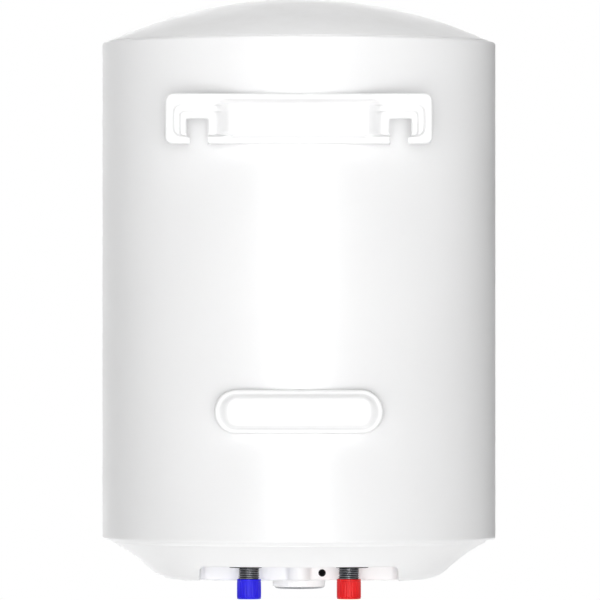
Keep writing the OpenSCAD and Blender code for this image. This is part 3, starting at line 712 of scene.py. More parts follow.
def tank_finish(colours):
    """Glassy tank enamel with pale specks."""
    material, tree, shader = start_finish("Tank enamel")
    base = use_group(tree, mottle_group(), Colour=(*colours.tank, 1),
                     Shade=(*shaded(colours.tank, 0.7), 1), Scale=14, Amount=1)["Colour"]
    flake = use_group(tree, spangle_group(), Scale=380)["Flake"]
    speck = spread(tree, flake, 0.93, 0.97)
    feed(tree, shader.inputs["Base Color"], blend_colours(tree, speck, base, (0.55, 0.60, 0.66)))
    feed(tree, shader.inputs["Roughness"],
         use_group(tree, polish_group(), Smooth=0.16, Dull=0.3, Scale=22)["Roughness"])
    shader.inputs["Coat Weight"].default_value = 0.4
    relief(tree, shader, use_group(tree, peel_group(), Scale=260)["Height"], 0.12 * MM)
    return material


def foam_finish(colours):
    """Open-celled insulation foam, with painted shade darkening its cell pits."""
    material, tree, shader = start_finish("Insulation foam")
    base = use_group(tree, mottle_group(), Colour=(*colours.foam, 1),
                     Shade=(*shaded(colours.foam, 0.8), 1), Scale=18, Amount=1)["Colour"]
    cells = use_group(tree, spangle_group(), Scale=900)
    # Painted shade in the cell pits that the bump sinks.
    pit_shade_mask = spread(tree, cells["Height"], 0.1, 0.6)
    feed(tree, shader.inputs["Base Color"],
         blend_colours(tree, pit_shade_mask, blend_colours(tree, 0.35, base, (0.2, 0.15, 0.08)), base))
    feed(tree, shader.inputs["Roughness"], spread(tree, cells["Flake"], 0, 1, 0.8, 0.95))
    relief(tree, shader, cells["Height"], 0.4 * MM)
    return material


def rubber_finish(colours):
    """Matt black rubber with a grey bloom."""
    material, tree, shader = start_finish("Black rubber")
    base = use_group(tree, mottle_group(), Colour=(*colours.rubber, 1),
                     Shade=(*shaded(colours.rubber, 1.8), 1), Scale=120, Amount=0.7)["Colour"]
    shader.inputs["Specular IOR Level"].default_value = 0.2
    feed(tree, shader.inputs["Base Color"], base)
    feed(tree, shader.inputs["Roughness"],
         use_group(tree, polish_group(), Smooth=0.55, Dull=0.75, Scale=160)["Roughness"])
    relief(tree, shader, use_group(tree, grain_group(), Scale=2200)["Height"], 0.03 * MM)
    return material


def chrome_finish():
    """Plated trim with faint wipe marks, in a dull grey that is painted shade under the knob's round."""
    material, tree, shader = start_finish("Plated trim")
    marks = use_group(tree, polish_group(), Smooth=0.10, Dull=0.24, Scale=60)["Roughness"]
    feed(tree, shader.inputs["Roughness"], marks)
    # Dull grey base: painted shade where the ring sits under the knob's round.
    feed(tree, shader.inputs["Base Color"], blend_colours(
        tree, spread(tree, marks, 0.1, 0.24), (0.42, 0.43, 0.45), (0.34, 0.35, 0.37)))
    shader.inputs["Metallic"].default_value = 1
    relief(tree, shader, use_group(tree, lines_group(), Scale=1800)["Height"], 0.004 * MM)
    return material


def lens_finish(name, colour, transmission, glow):
    """Tinted lamp plastic or glass, a little brighter in its middle depth."""
    material, tree, shader = start_finish(name)
    base = use_group(tree, mottle_group(), Colour=(*colour, 1), Shade=(*shaded(colour, 0.75), 1),
                     Scale=260, Amount=1)["Colour"]
    feed(tree, shader.inputs["Base Color"], base)
    feed(tree, shader.inputs["Emission Color"], base)
    shader.inputs["Emission Strength"].default_value = glow
    shader.inputs["Transmission Weight"].default_value = transmission
    feed(tree, shader.inputs["Roughness"],
         use_group(tree, polish_group(), Smooth=0.08, Dull=0.2, Scale=300)["Roughness"])
    relief(tree, shader, use_group(tree, peel_group(), Scale=1400)["Height"], 0.02 * MM)
    return material


def wire_finish(name, colour):
    """Extruded wire insulation."""
    material, tree, shader = start_finish(name)
    base = use_group(tree, mottle_group(), Colour=(*colour, 1), Shade=(*shaded(colour, 0.7), 1),
                     Scale=180, Amount=0.8)["Colour"]
    feed(tree, shader.inputs["Base Color"], base)
    feed(tree, shader.inputs["Roughness"],
         use_group(tree, polish_group(), Smooth=0.35, Dull=0.5, Scale=260)["Roughness"])
    relief(tree, shader, use_group(tree, lines_group(), Scale=3000)["Height"], 0.02 * MM)
    return material


FINISHES = {
    "white_enamel": enamel_finish,
    "cover_plastic": cover_finish,
    "grey_plastic": lambda colours: plastic_finish("Grey plastic", (0.34, 0.35, 0.36), 0.4, 0.55),
    "zinc_steel": lambda colours: zinc_finish(),
    "thread_steel": thread_finish,
    "tank_enamel": tank_finish,
    "foam": foam_finish,
    "ivory_plastic": lambda colours: plastic_finish("Ivory plastic", (0.72, 0.68, 0.56), 0.32, 0.45),
    "black_plastic": lambda colours: plastic_finish("Black plastic", (0.022, 0.022, 0.024), 0.3, 0.45),
    "black_rubber": rubber_finish,
    "blue_plastic": lambda colours: plastic_finish("Blue plastic", tuple(colours.blue_cap), 0.34, 0.46),
    "red_plastic": lambda colours: plastic_finish("Red plastic", tuple(colours.red_cap), 0.34, 0.46),
    "copper": lambda colours: metal_finish("Copper", (0.80, 0.42, 0.27), (0.42, 0.20, 0.12), 0.22, 0.42),
    "brass": lambda colours: metal_finish("Brass", (0.78, 0.58, 0.26), (0.48, 0.34, 0.14), 0.22, 0.4),
    "magnesium": lambda colours: cast_finish(),
    "trim_chrome": lambda colours: chrome_finish(),
    "amber_lens": lambda colours: lens_finish("Amber lens", (0.95, 0.36, 0.03), 0.35, 0.15),
    "lamp_glass": lambda colours: lens_finish("Lamp glass", (0.92, 0.55, 0.40), 0.8, 0.1),
    "brown_wire": lambda colours: wire_finish("Brown wire", (0.16, 0.07, 0.035)),
    "blue_wire": lambda colours: wire_finish("Blue wire", (0.03, 0.10, 0.42)),
    "green_wire": lambda colours: wire_finish("Green wire", (0.05, 0.32, 0.06)),
}


def finish_for(slot):
    """The material of one of the record's slots, built when it's first asked for."""
    key = "slot " + slot
    if key not in bpy.data.materials:
        FINISHES[slot](bpy.context.scene.heater_colours).name = key
    return bpy.data.materials[key]


# ---- Casing and top cover ----


def casing_outline(shape):
    """Cross-section of the rolled sheet, from its top lip down the outside and back up the inside."""
    gauge = 1.2 * MM
    bend = shape.rolled_edge
    top = (CASING_R - bend, CASING_TOP - bend)
    low = (CASING_R - bend, CASING_BOTTOM + bend)
    lip_end = gauge / 2
    return (
        arc((LIP_R + lip_end, CASING_TOP - lip_end), lip_end, 270, 90, 6)
        + arc(top, bend, 90, 0, 9) + arc(low, bend, 0, -90, 9)
        + arc((LIP_R + lip_end, CASING_BOTTOM + lip_end), lip_end, 270, 90, 6)
        + arc(low, bend - gauge, -90, 0, 6) + arc(top, bend - gauge, 0, 90, 6)
    )


def top_cover_outline(shape):
    """A shallow dome with a rounded rim and a step that sits under the casing's lip."""
    base_r = CASING_R - 4 * MM
    rise = DOME_TOP - CASING_TOP
    dome_r = (base_r ** 2 + rise ** 2) / (2 * rise)
    centre = DOME_TOP - dome_r
    edge = LIP_R - 0.4 * MM
    rim = shape.cover_rim
    gauge = 2 * MM
    # The rim's arc touches the dome inside and stands upright at the edge.
    rim_r = edge - rim
    rim_z = centre + math.sqrt((dome_r - rim) ** 2 - rim_r ** 2)
    lean = math.degrees(math.asin(rim_r / (dome_r - rim)))
    outside = [
        (dome_r * math.sin(angle), centre + dome_r * math.cos(angle))
        for angle in (math.radians(lean * i / 28) for i in range(29))
    ]
    skirt = [
        (edge, CASING_TOP - 1.5 * MM), (edge + 2 * MM, CASING_TOP - 1.7 * MM),
        (edge + 2 * MM, CASING_TOP - 3.2 * MM), (edge - gauge, CASING_TOP - 3.4 * MM),
    ]
    inside_lean = math.degrees(math.asin((edge - gauge) / (dome_r - gauge)))
    inside = [
        ((dome_r - gauge) * math.sin(math.radians(inside_lean * i / 14)),
         centre + (dome_r - gauge) * math.cos(math.radians(inside_lean * i / 14)))
        for i in range(14, -1, -1)
    ]
    return outside + arc((rim_r, rim_z), rim, 90 - lean, 0, 6)[1:] + skirt + inside


# ---- Bottom cover ----

SHOULDER_R = 42 * MM
SWEEP_R = 150 * MM
SWEEP_EDGE = 190.8 * MM                       # the hollow sweep ends at this radius
SWEEP_FROM, SWEEP_TO = math.radians(25), math.radians(44)
SWEEP_C = SWEEP_EDGE + SWEEP_R * math.sin(SWEEP_FROM)  # radius of the sweep's centre
SHOULDER_FROM = SWEEP_C - (SWEEP_R + SHOULDER_R) * math.sin(SWEEP_TO)  # the flat floor ends here
SHOULDER_TO = SHOULDER_FROM + SHOULDER_R * math.sin(SWEEP_TO)
BOWL_R = CASING_R - 7.2 * MM
BEAD_R = CASING_R - 10.4 * MM
CROWN_FROM = 84 * MM                          # the floor lifts a little from here to the shoulder
CROWN_H = 1.2 * MM
BEAD_H = 0.8 * MM
SWEEP_CZ = FLOOR_Z + SHOULDER_R - (SHOULDER_R + SWEEP_R) * math.cos(SWEEP_TO)
FILLET_R = 4 * MM                             # where the rib meets the bay's front wall
FILLET_X = math.sqrt((RIB_R + FILLET_R) ** 2 - FILLET_R ** 2)
WALL_DRAFT = 0.3 * MM
BAY_DEPTH = BAY_Z - FLOOR_Z
SEAT_R = 4.7 * MM                             # wells of the cover's screws
SEAT_DEPTH = 3.2 * MM
SEAT_ROUND = 0.6 * MM


def bowl_height(r):
    """Height of the bottom cover's outside at radius r, without the pipe bay."""
    crown = CROWN_H * smoothstep((r - CROWN_FROM) / (SHOULDER_FROM - CROWN_FROM))
    if r < SHOULDER_FROM:
        return FLOOR_Z + crown
    if r < SHOULDER_TO:
        crown *= 1 - smoothstep((r - SHOULDER_FROM) / (SHOULDER_TO - SHOULDER_FROM))
        return FLOOR_Z + crown + SHOULDER_R - math.sqrt(SHOULDER_R ** 2 - (r - SHOULDER_FROM) ** 2)
    sweep = SWEEP_CZ + math.sqrt(SWEEP_R ** 2 - (SWEEP_C - r) ** 2)
    step = BEAD_H * smoothstep((r - BEAD_R) / (0.9 * MM))
    rim = 1.0 * MM * smoothstep((r - BOWL_R + 0.6 * MM) / (1.2 * MM))
    return sweep + step + rim


def bay_offset(x, back):
    """Distance from the pipe bay's outline; positive in the cover, negative in the bay."""
    x = abs(x)
    corner_x = x - BAY_HALF_W + BAY_CORNER_R
    corner_y = BAY_FRONT + BAY_CORNER_R - back
    walls = (math.hypot(max(corner_x, 0), max(corner_y, 0)) + min(max(corner_x, corner_y), 0) - BAY_CORNER_R)
    dx, dy = x - FILLET_X, back - BAY_FRONT - FILLET_R
    in_fillet = dx <= 0 and dx * -FILLET_R - dy * -FILLET_X <= 0
    if in_fillet:
        return math.hypot(dx, dy) - FILLET_R
    return max(walls, RIB_R - math.hypot(x, back - BAY_FRONT))


def bay_line(offset, end_back, step):
    """The bay's outline moved outwards by offset, as plan points from one rear end to the other."""
    half = [(BAY_HALF_W + offset, back) for back in run(end_back, BAY_FRONT + BAY_CORNER_R, step)]
    half += arc((BAY_HALF_W - BAY_CORNER_R, BAY_FRONT + BAY_CORNER_R), BAY_CORNER_R + offset, 0, -90, 8)[1:]
    half += [(x, BAY_FRONT - offset) for x in run(BAY_HALF_W - BAY_CORNER_R, FILLET_X, step)[1:]]
    turn = math.degrees(math.atan2(FILLET_R, FILLET_X))
    half += arc((FILLET_X, BAY_FRONT + FILLET_R), FILLET_R + offset, -90, -180 + turn, 6)[1:]
    half += arc((0, BAY_FRONT), RIB_R - offset, turn, 90, 10)[1:]
    return half + [(-x, back) for x, back in half[-2::-1]]


def bay_rise(offset, shape):
    """Share of the bay's depth that the surface has risen at an offset from its outline."""
    fold, root = shape.bay_fold, shape.bay_root
    if offset >= fold:
        return 0
    if offset >= 0:
        return (fold - math.sqrt(fold ** 2 - (fold - offset) ** 2)) / BAY_DEPTH
    if offset >= -WALL_DRAFT:
        straight = BAY_DEPTH - fold - root
        return (fold + straight * -offset / WALL_DRAFT) / BAY_DEPTH
    reach = offset + WALL_DRAFT + root
    if reach <= 0:
        return 1
    return (BAY_DEPTH - root + math.sqrt(root ** 2 - reach ** 2)) / BAY_DEPTH


def seat_rise(distance):
    """How far a screw's well has risen at a distance from its centre."""
    if distance >= SEAT_R + SEAT_ROUND:
        return 0
    if distance >= SEAT_R:
        return SEAT_ROUND - math.sqrt(SEAT_ROUND ** 2 - (SEAT_R + SEAT_ROUND - distance) ** 2)
    return SEAT_ROUND + (SEAT_DEPTH - SEAT_ROUND) * min((SEAT_R - distance) / (0.15 * MM), 1)


def screw_places():
    """Plan places of the cover's four screws, from the vessel's axis."""
    return [(side * x, back) for x, back in (FRONT_SCREWS, REAR_SCREWS) for side in (-1, 1)]


def bay_ceiling(x):
    """Height of the pipe bay's ceiling, which rounds down to the two end walls."""
    over = min(max(abs(x) - BAY_HALF_W + BAY_CORNER_R, 0), BAY_CORNER_R)
    return BAY_Z - BAY_CORNER_R + math.sqrt(BAY_CORNER_R ** 2 - over ** 2)


def cover_place(x, back, shape):
    """Place in space of a plan point of the bottom cover."""
    height = bowl_height(math.hypot(x, back))
    rise = soft_max(bay_ceiling(x) - height, 0, 2 * MM)
    height += rise * bay_rise(bay_offset(x, back), shape)
    for sx, sy in screw_places():
        height += seat_rise(math.hypot(x - sx, back - sy))
    return (x, AXIS_Y + back, height)


def circle(x, back, radius, count):
    """Evenly spaced plan points on a circle."""
    angles = [2 * math.pi * i / count for i in range(count)]
    return [(x + radius * math.cos(angle), back + radius * math.sin(angle)) for angle in angles]


def bottom_cover_mesh(shape):
    """The moulded bowl: floor, shoulder, sweep, pipe bay, screw wells and holes, in one surface."""
    holes = [(PIPE_X, PIPE_BACK, 13 * MM), (-PIPE_X, PIPE_BACK, 13 * MM),
             (0, KNOB_FRONT, 9 * MM), (0, LENS_FRONT, (LENS_HIGH.x - LENS_LOW.x) / 2)]
    fold, root = shape.bay_fold, shape.bay_root
    fold_offsets = [fold - fold * math.sin(math.radians(15 * i)) for i in range(7)]
    root_offsets = [-WALL_DRAFT - root * (1 - math.cos(math.radians(18 * i))) for i in range(6)]
    guard = [fold + 1.2 * MM, fold + 0.4 * MM]
    inner_guard = [-WALL_DRAFT - root - 0.4 * MM, -WALL_DRAFT - root - 1.2 * MM]
    bay_edge_r = SWEEP_C - math.sqrt(SWEEP_R ** 2 - (BAY_Z - SWEEP_CZ) ** 2)
    end_back = math.sqrt((bay_edge_r + 4 * MM) ** 2 - BAY_HALF_W ** 2)
    chains = [bay_line(offset, end_back, 2.5 * MM)
              for offset in guard + fold_offsets + root_offsets + inner_guard]
    loops = [circle(x, back, radius, 48) for x, back, radius in holes]
    loops += [circle(x, back, radius + 1 * MM, 48) for x, back, radius in holes]
    seat_radii = [SEAT_R + SEAT_ROUND * k for k in (2, 1, 0.5, 0.15, 0)]
    seat_radii += [SEAT_R - 0.15 * MM, SEAT_R - 0.7 * MM]
    loops += [circle(x, back, radius, 32) for x, back in screw_places() for radius in seat_radii]

    segments = 240
    rings = (run(12 * MM, SHOULDER_FROM, 9 * MM) + run(SHOULDER_FROM, SHOULDER_TO, 1.8 * MM)[1:]
             + run(SHOULDER_TO, BEAD_R - 1 * MM, 2.6 * MM)[1:])
    edges = ([BEAD_R + 0.9 * MM * t for t in (-0.4, 0, 0.25, 0.5, 0.75, 1, 1.4)]
             + [BOWL_R + k * MM for k in (-1, -0.6, -0.3, 0, 0.3, 0.6)])
    bay_edges = [bay_edge_r + k * MM for k in (-3, -1.6, -0.8, 0, 0.8, 1.6, 3)]
    strip = (-WALL_DRAFT - root - 1.6 * MM, fold + 1.6 * MM)

    def clear(x, back):
        """Whether a free point keeps off the lines that the triangles follow."""
        if strip[0] < bay_offset(x, back) < strip[1] and back < end_back:
            return False
        if any(math.hypot(x - cx, back - cy) < radius + 2 * MM for cx, cy, radius in holes):
            return False
        return all(math.hypot(x - sx, back - sy) > SEAT_R + 2 * MM for sx, sy in screw_places())

    free = [(0.0, 0.0)]
    for radius in rings:
        fewer = max(24, int(segments * radius / SHOULDER_FROM / 3) * 3)
        count = segments if radius > SHOULDER_FROM else fewer
        free += circle(0, 0, radius, count)
    reach = math.atan2(BAY_HALF_W, end_back)
    for radius in bay_edges:
        angles = [reach * k / 60 for k in range(-60, 61)]
        free += [(radius * math.sin(angle), radius * math.cos(angle)) for angle in angles]
    free += [(side * (BAY_HALF_W - BAY_CORNER_R + over * MM), back)
             for side in (-1, 1) for over in (0, 1.4, 2.6)
             for back in run(BAY_FRONT + BAY_CORNER_R, end_back, 2.5 * MM)]
    free = [point for point in free if clear(*point)]
    loops += [circle(0, 0, radius, segments) for radius in edges]

    def keep(x, back):
        if math.hypot(x, back) > edges[-1]:
            return False
        return all(math.hypot(x - cx, back - cy) > radius * 0.999 for cx, cy, radius in holes)

    mesh = plan_mesh("bottom_cover_shell", loops, chains, free,
                     lambda x, back: cover_place(x, back, shape), keep)
    build = bmesh.new()
    build.from_mesh(mesh)
    for face in build.faces:
        if face.normal.z > 0:
            face.normal_flip()
    # The rim goes on up inside the casing's lip as a short skirt.
    rim = [e for e in build.edges if e.is_boundary
           and all(math.hypot(v.co.x, v.co.y - AXIS_Y) > BOWL_R for v in e.verts)]
    grown = bmesh.ops.extrude_edge_only(build, edges=rim)["geom"]
    for v in grown:
        if isinstance(v, bmesh.types.BMVert):
            v.co.z += 11 * MM
            v.co.x *= 0.9975
            v.co.y = AXIS_Y + (v.co.y - AXIS_Y) * 0.9975
    build.normal_update()
    build.to_mesh(mesh)
    build.free()
    return smooth(mesh, 40)


def cut_hole(piece, centre, radius, length):
    """Bores a round hole along Y through a piece."""
    build = bmesh.new()
    turn = Matrix.Translation(centre) @ Matrix.Rotation(math.radians(90), 4, "X")
    bmesh.ops.create_cone(build, cap_ends=True, segments=48, radius1=radius, radius2=radius,
                          depth=length, matrix=turn)
    mesh = bpy.data.meshes.new("drill")
    build.to_mesh(mesh)
    build.free()
    drill = bpy.data.objects.new("drill", mesh)
    bpy.context.scene.collection.objects.link(drill)
    bore = piece.modifiers.new("Bore", "BOOLEAN")
    bore.operation = "DIFFERENCE"
    bore.object = drill
    bore.solver = "EXACT"
    applied(piece)
    bpy.data.objects.remove(drill)
    return piece


# ---- Wall bracket and spacer ----

BRACKET_LOW, BRACKET_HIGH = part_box("wall_bracket")
SPACER_LOW, SPACER_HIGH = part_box("wall_spacer")
SPACER_END = 9.5 * MM                         # run of the slope at the raised field's round ends
RIM_Y = -5 * MM                               # sheet levels, measured from the wall
STEP_Y = -7.2 * MM
POCKET_Y = -9.4 * MM
EDGE_DRAFT = 0.5 * MM
BRACKET_CORNER_R = 8 * MM
BOSS_HALF_W = 82 * MM
BOSS_HALF_H = 19 * MM
BOSS_END = 15 * MM                            # plan length of the boss's end slopes
BOSS_SIDE = 4.5 * MM
SLOT_X = 100 * MM
SLOT_HALF = 10.5 * MM
SLOT_LIP = 3.2 * MM
POCKET_LOW = -18.5 * MM
STEP_RUN = 2.6 * MM                           # plan width of a pressed step
POCKETS = (                                   # (outer end, top, corner radius, level above, level below)
    (124.6 * MM, 15.4 * MM, 9 * MM, RIM_Y, STEP_Y),
    (118.4 * MM, 8.9 * MM, 5.5 * MM, STEP_Y, POCKET_Y),
)


def turned_edge(inset, level, foot, bend):
    """Height of a sheet whose edge is bent back to foot, at an inset from its outline."""
    if inset <= EDGE_DRAFT:
        return foot + (level - bend - foot) * max(inset, 0) / EDGE_DRAFT
    if inset >= EDGE_DRAFT + bend:
        return level
    return level - bend + math.sqrt(bend ** 2 - (EDGE_DRAFT + bend - inset) ** 2)


def edge_insets(bend):
    """Insets of the lines that resolve a turned edge."""
    bent = [EDGE_DRAFT + bend * (1 - math.cos(math.radians(15 * i))) for i in range(7)]
    return [0, EDGE_DRAFT * 0.5] + bent + [bent[-1] + 0.5 * MM]


def bracket_place(x, z, shape):
    """Place in space of a plan point of the wall bracket."""
    level = RIM_Y
    for x_out, z_high, radius, above, below in POCKETS:
        inset = rounded_inset(abs(x), z, BOSS_HALF_W - 20 * MM, x_out, POCKET_LOW, z_high, radius)
        level += (below - above) * smoothstep(inset / STEP_RUN)
    boss = smoothstep((BOSS_HALF_W - abs(x)) / BOSS_END) * smoothstep((BOSS_HALF_H - abs(z)) / BOSS_SIDE)
    level *= 1 - boss
    inset = rounded_inset(x, z, BRACKET_LOW.x, BRACKET_HIGH.x, BRACKET_LOW.z, BRACKET_HIGH.z,
                          BRACKET_CORNER_R)
    if inset < EDGE_DRAFT + shape.sheet_bend:
        level = turned_edge(inset, level, BRACKET_LOW.y, shape.sheet_bend)
    return (x, level, z)


def bracket_mesh(shape):
    """The pressed bracket: turned edge, stepped pockets, raised field and two hook slots."""
    plan = (BRACKET_LOW.x, BRACKET_HIGH.x, BRACKET_LOW.z, BRACKET_HIGH.z, BRACKET_CORNER_R)
    loops = [rounded_loop(*plan, inset, 2 * MM) for inset in edge_insets(shape.sheet_bend)]
    for side in (-1, 1):
        for x_out, z_high, radius, _, _ in POCKETS:
            for share in (-0.2, 0, 0.17, 0.33, 0.5, 0.67, 0.83, 1, 1.25):
                inner = rounded_loop(BOSS_HALF_W - 20 * MM, x_out, POCKET_LOW, z_high, radius,
                                     share * STEP_RUN, 2 * MM)
                loops.append([(side * x, z) for x, z in inner])
        inner_x, outer_x, lip_x = SLOT_X - SLOT_HALF, SLOT_X + SLOT_HALF, SLOT_X + SLOT_HALF - SLOT_LIP
        under = BRACKET_LOW.z - 2 * MM
        corner = 0.8 * MM
        slot = ([(inner_x, under)] + [(inner_x, z) for z in run(BRACKET_LOW.z + 1 * MM, -corner, 1.5 * MM)]
                + arc((inner_x + corner, -corner), corner, 180, 90, 3)
                + [(x, 0) for x in run(inner_x + corner, outer_x - corner, 2 * MM)[1:-1]]
                + arc((outer_x - corner, -corner), corner, 90, 0, 3)
                + [(outer_x, z) for z in run(-corner, POCKET_LOW + 0.3 * MM, 1.5 * MM)[1:]]
                + [(lip_x, POCKET_LOW - 0.3 * MM)]
                + [(lip_x, z) for z in run(POCKET_LOW - 0.6 * MM, under, 1.5 * MM)])
        loops.append([(side * x, z) for x, z in slot])
    xs = run(BRACKET_LOW.x, -BOSS_HALF_W, 2.4 * MM)
    xs = xs + run(-BOSS_HALF_W, -BOSS_HALF_W + BOSS_END, 1.25 * MM)[1:]
    xs = xs + run(xs[-1], 0, 4 * MM)[1:]
    xs = xs + [-x for x in xs[-2::-1]]
    zs = run(BRACKET_LOW.z, -BOSS_HALF_H, 2 * MM)
    zs = zs + run(-BOSS_HALF_H, -BOSS_HALF_H + BOSS_SIDE, 0.75 * MM)[1:]
    zs = zs + run(zs[-1], 0, 3 * MM)[1:]
    zs = zs + [-z for z in zs[-2::-1]]

    def clear(x, z):
        if rounded_inset(x, z, *plan) < EDGE_DRAFT + shape.sheet_bend + 0.9 * MM:
            return False
        for x_out, z_high, radius, _, _ in POCKETS:
            inset = rounded_inset(abs(x), z, BOSS_HALF_W - 20 * MM, x_out, POCKET_LOW, z_high, radius)
            if -0.9 * MM < inset < STEP_RUN * 1.25 + 0.5 * MM:
                return False
        return not (abs(abs(x) - SLOT_X) < SLOT_HALF + 0.7 * MM and z < 0.7 * MM)

    def in_slot(x, z):
        x = abs(x)
        outer = SLOT_X + SLOT_HALF - (SLOT_LIP if z < POCKET_LOW else 0)
        return SLOT_X - SLOT_HALF < x < outer and z < 0

    def keep(x, z):
        return rounded_inset(x, z, *plan) > 0 and not in_slot(x, z)

    mesh = plan_mesh("bracket_sheet", loops, [], [(x, z) for x in xs for z in zs if clear(x, z)],
                     lambda x, z: bracket_place(x, z, shape), keep)
    return facing_wall(mesh)


def facing_wall(mesh):
    """Turns every face of a pressed sheet towards the wall."""
    build = bmesh.new()
    build.from_mesh(mesh)
    for face in build.faces:
        if face.normal.y < 0:
            face.normal_flip()
    build.to_mesh(mesh)
    build.free()
    return smooth(mesh, 50)


def stadium_inset(x, z, half_w, half_h):
    """How far a point lies inside a bar with round ends, centred on x = 0, z = 0."""
    return half_h - math.hypot(max(abs(x) - half_w + half_h, 0), z)


def casing_surface(x):
    """Where the casing's back stands at a distance along the wall."""
    return AXIS_Y + math.sqrt(CASING_R ** 2 - x ** 2)


def spacer_mesh(shape):
    """The pressed spacer: a round-ended cup whose raised field bears on the wall."""
    middle = (SPACER_LOW.z + SPACER_HIGH.z) / 2
    half_w = (SPACER_HIGH.x - SPACER_LOW.x) / 2
    half_h = (SPACER_HIGH.z - SPACER_LOW.z) / 2
    end = half_w - half_h                           # centre of a round end
    rim = 4.4 * MM
    bend = shape.sheet_bend

    def place(x, z):
        inset = stadium_inset(x, z, half_w, half_h)
        past = max(abs(x) - end, 0)                 # how far out in the round end
        share = past ** 2 / max(past ** 2 + z ** 2, MM ** 2)
        field = smoothstep((inset - rim) / (BOSS_SIDE + (SPACER_END - BOSS_SIDE) * share))
        level = RIM_Y * (1 - field)
        if inset < EDGE_DRAFT + bend:
            level = turned_edge(inset, level, casing_surface(x) + 0.3 * MM, bend)
        return (x, level, z + middle)

    insets = edge_insets(bend) + [rim + BOSS_SIDE * share for share in (0, 0.2, 0.4, 0.6, 0.8, 1)]
    loops = []
    for inset in insets:
        r = half_h - inset
        loops.append(
            arc((end, 0), r, -90, 90, 24) + [(x, r) for x in run(end, -end, 3 * MM)[1:-1]]
            + arc((-end, 0), r, 90, 270, 24) + [(x, -r) for x in run(-end, end, 3 * MM)[1:-1]])
    free = [(x, z) for x in run(-half_w, half_w, 1.8 * MM) for z in run(-half_h, half_h, 2 * MM)
            if stadium_inset(x, z, half_w, half_h) > rim + BOSS_SIDE + 0.8 * MM]
    mesh = plan_mesh("spacer_sheet", loops, [], free, place,
                     lambda x, z: stadium_inset(x, z, half_w, half_h) > 0)
    return facing_wall(mesh)


# ---- Water connections ----

THREAD_TOP = BAY_Z - 2.6 * MM
PIPE_BORE_R = 7.5 * MM


def threaded_pipe_mesh(name, centre, low, thread_top, high, bore_r, shape):
    """A pipe with a real helical thread from low to thread_top and a plain shank above."""
    crest = (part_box("cold_inlet_pipe")[1].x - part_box("cold_inlet_pipe")[0].x) / 2
    root = crest - shape.thread_depth
    pitch = shape.thread_pitch
    around, along = 72, 8
    profile = [0, 0.04, 0.5, 0.96, 1, 0.96, 0.5, 0.04]
    rows = int((thread_top - low) / pitch + 2) * along
    build = bmesh.new()
    grid = {}
    for i in range(around):
        angle = 2 * math.pi * i / around
        for j in range(-along, rows + 1):
            z = low + (j / along + i / around) * pitch
            cut = profile[j % along]
            inside = min(max(z, low), thread_top)
            fade = min((inside - low) / (0.9 * pitch), (thread_top - inside) / (0.8 * pitch), 1)
            r = root + (crest - root) * cut * max(fade, 0)
            grid[i, j] = build.verts.new(
                (centre[0] + r * math.cos(angle), centre[1] + r * math.sin(angle), inside))
    for i in range(around):
        for j in range(-along, rows):
            k, shift = (i + 1, 0) if i + 1 < around else (0, along)
            corners = [(i, j), (k, j + shift), (k, j + 1 + shift), (i, j + 1)]
            if all(corner in grid for corner in corners):
                build.faces.new([grid[corner] for corner in corners])
    bmesh.ops.remove_doubles(build, verts=build.verts, dist=2e-6)
    bmesh.ops.dissolve_degenerate(build, edges=build.edges, dist=1e-6)
    shank = crest - 0.25 * MM
    lathe(build, [(root, thread_top), (shank, thread_top + 0.4 * MM), (shank, high), (bore_r, high),
                  (bore_r, low), (root, low)], centre, around, closed=False)
    mesh = mesh_from(name, build)
    return smooth(mesh, 38)


def collar_mesh(name, box, pipe):
    """A rubber collar: a dished disc that grips a pipe away from its own middle."""
    centre = ((box[0].x + box[1].x) / 2, (box[0].y + box[1].y) / 2)
    rim_r = (box[1].x - box[0].x) / 2
    hole_r = 10.28 * MM
    # Each point of the profile is (share of the way out, height in mm).
    profile = [(0, 2.0), (0, -2.5), (0.05, -2.7), (0.5, -2.8), (0.8, -3.0), (0.9, -3.3), (0.94, -3.4),
               (0.98, -3.3), (1, -3.1), (1, -0.1), (0.9, 0), (0.6, 0.1), (0.4, 2.0)]
    build = bmesh.new()
    rows = []
    for share, height in profile:
        row = []
        for i in range(96):
            out = Vector((math.cos(math.pi * i / 48), math.sin(math.pi * i / 48)))
            place = (Vector(pipe) + out * hole_r).lerp(Vector(centre) + out * rim_r, share)
            row.append(build.verts.new((place.x, place.y, BAY_Z + height * MM)))
        rows.append(row)
    for a, b in zip(rows, rows[1:] + rows[:1]):
        for i in range(96):
            j = (i + 1) % 96
            build.faces.new([a[i], a[j], b[j], b[i]])
    return smooth(mesh_from(name, build), 34)


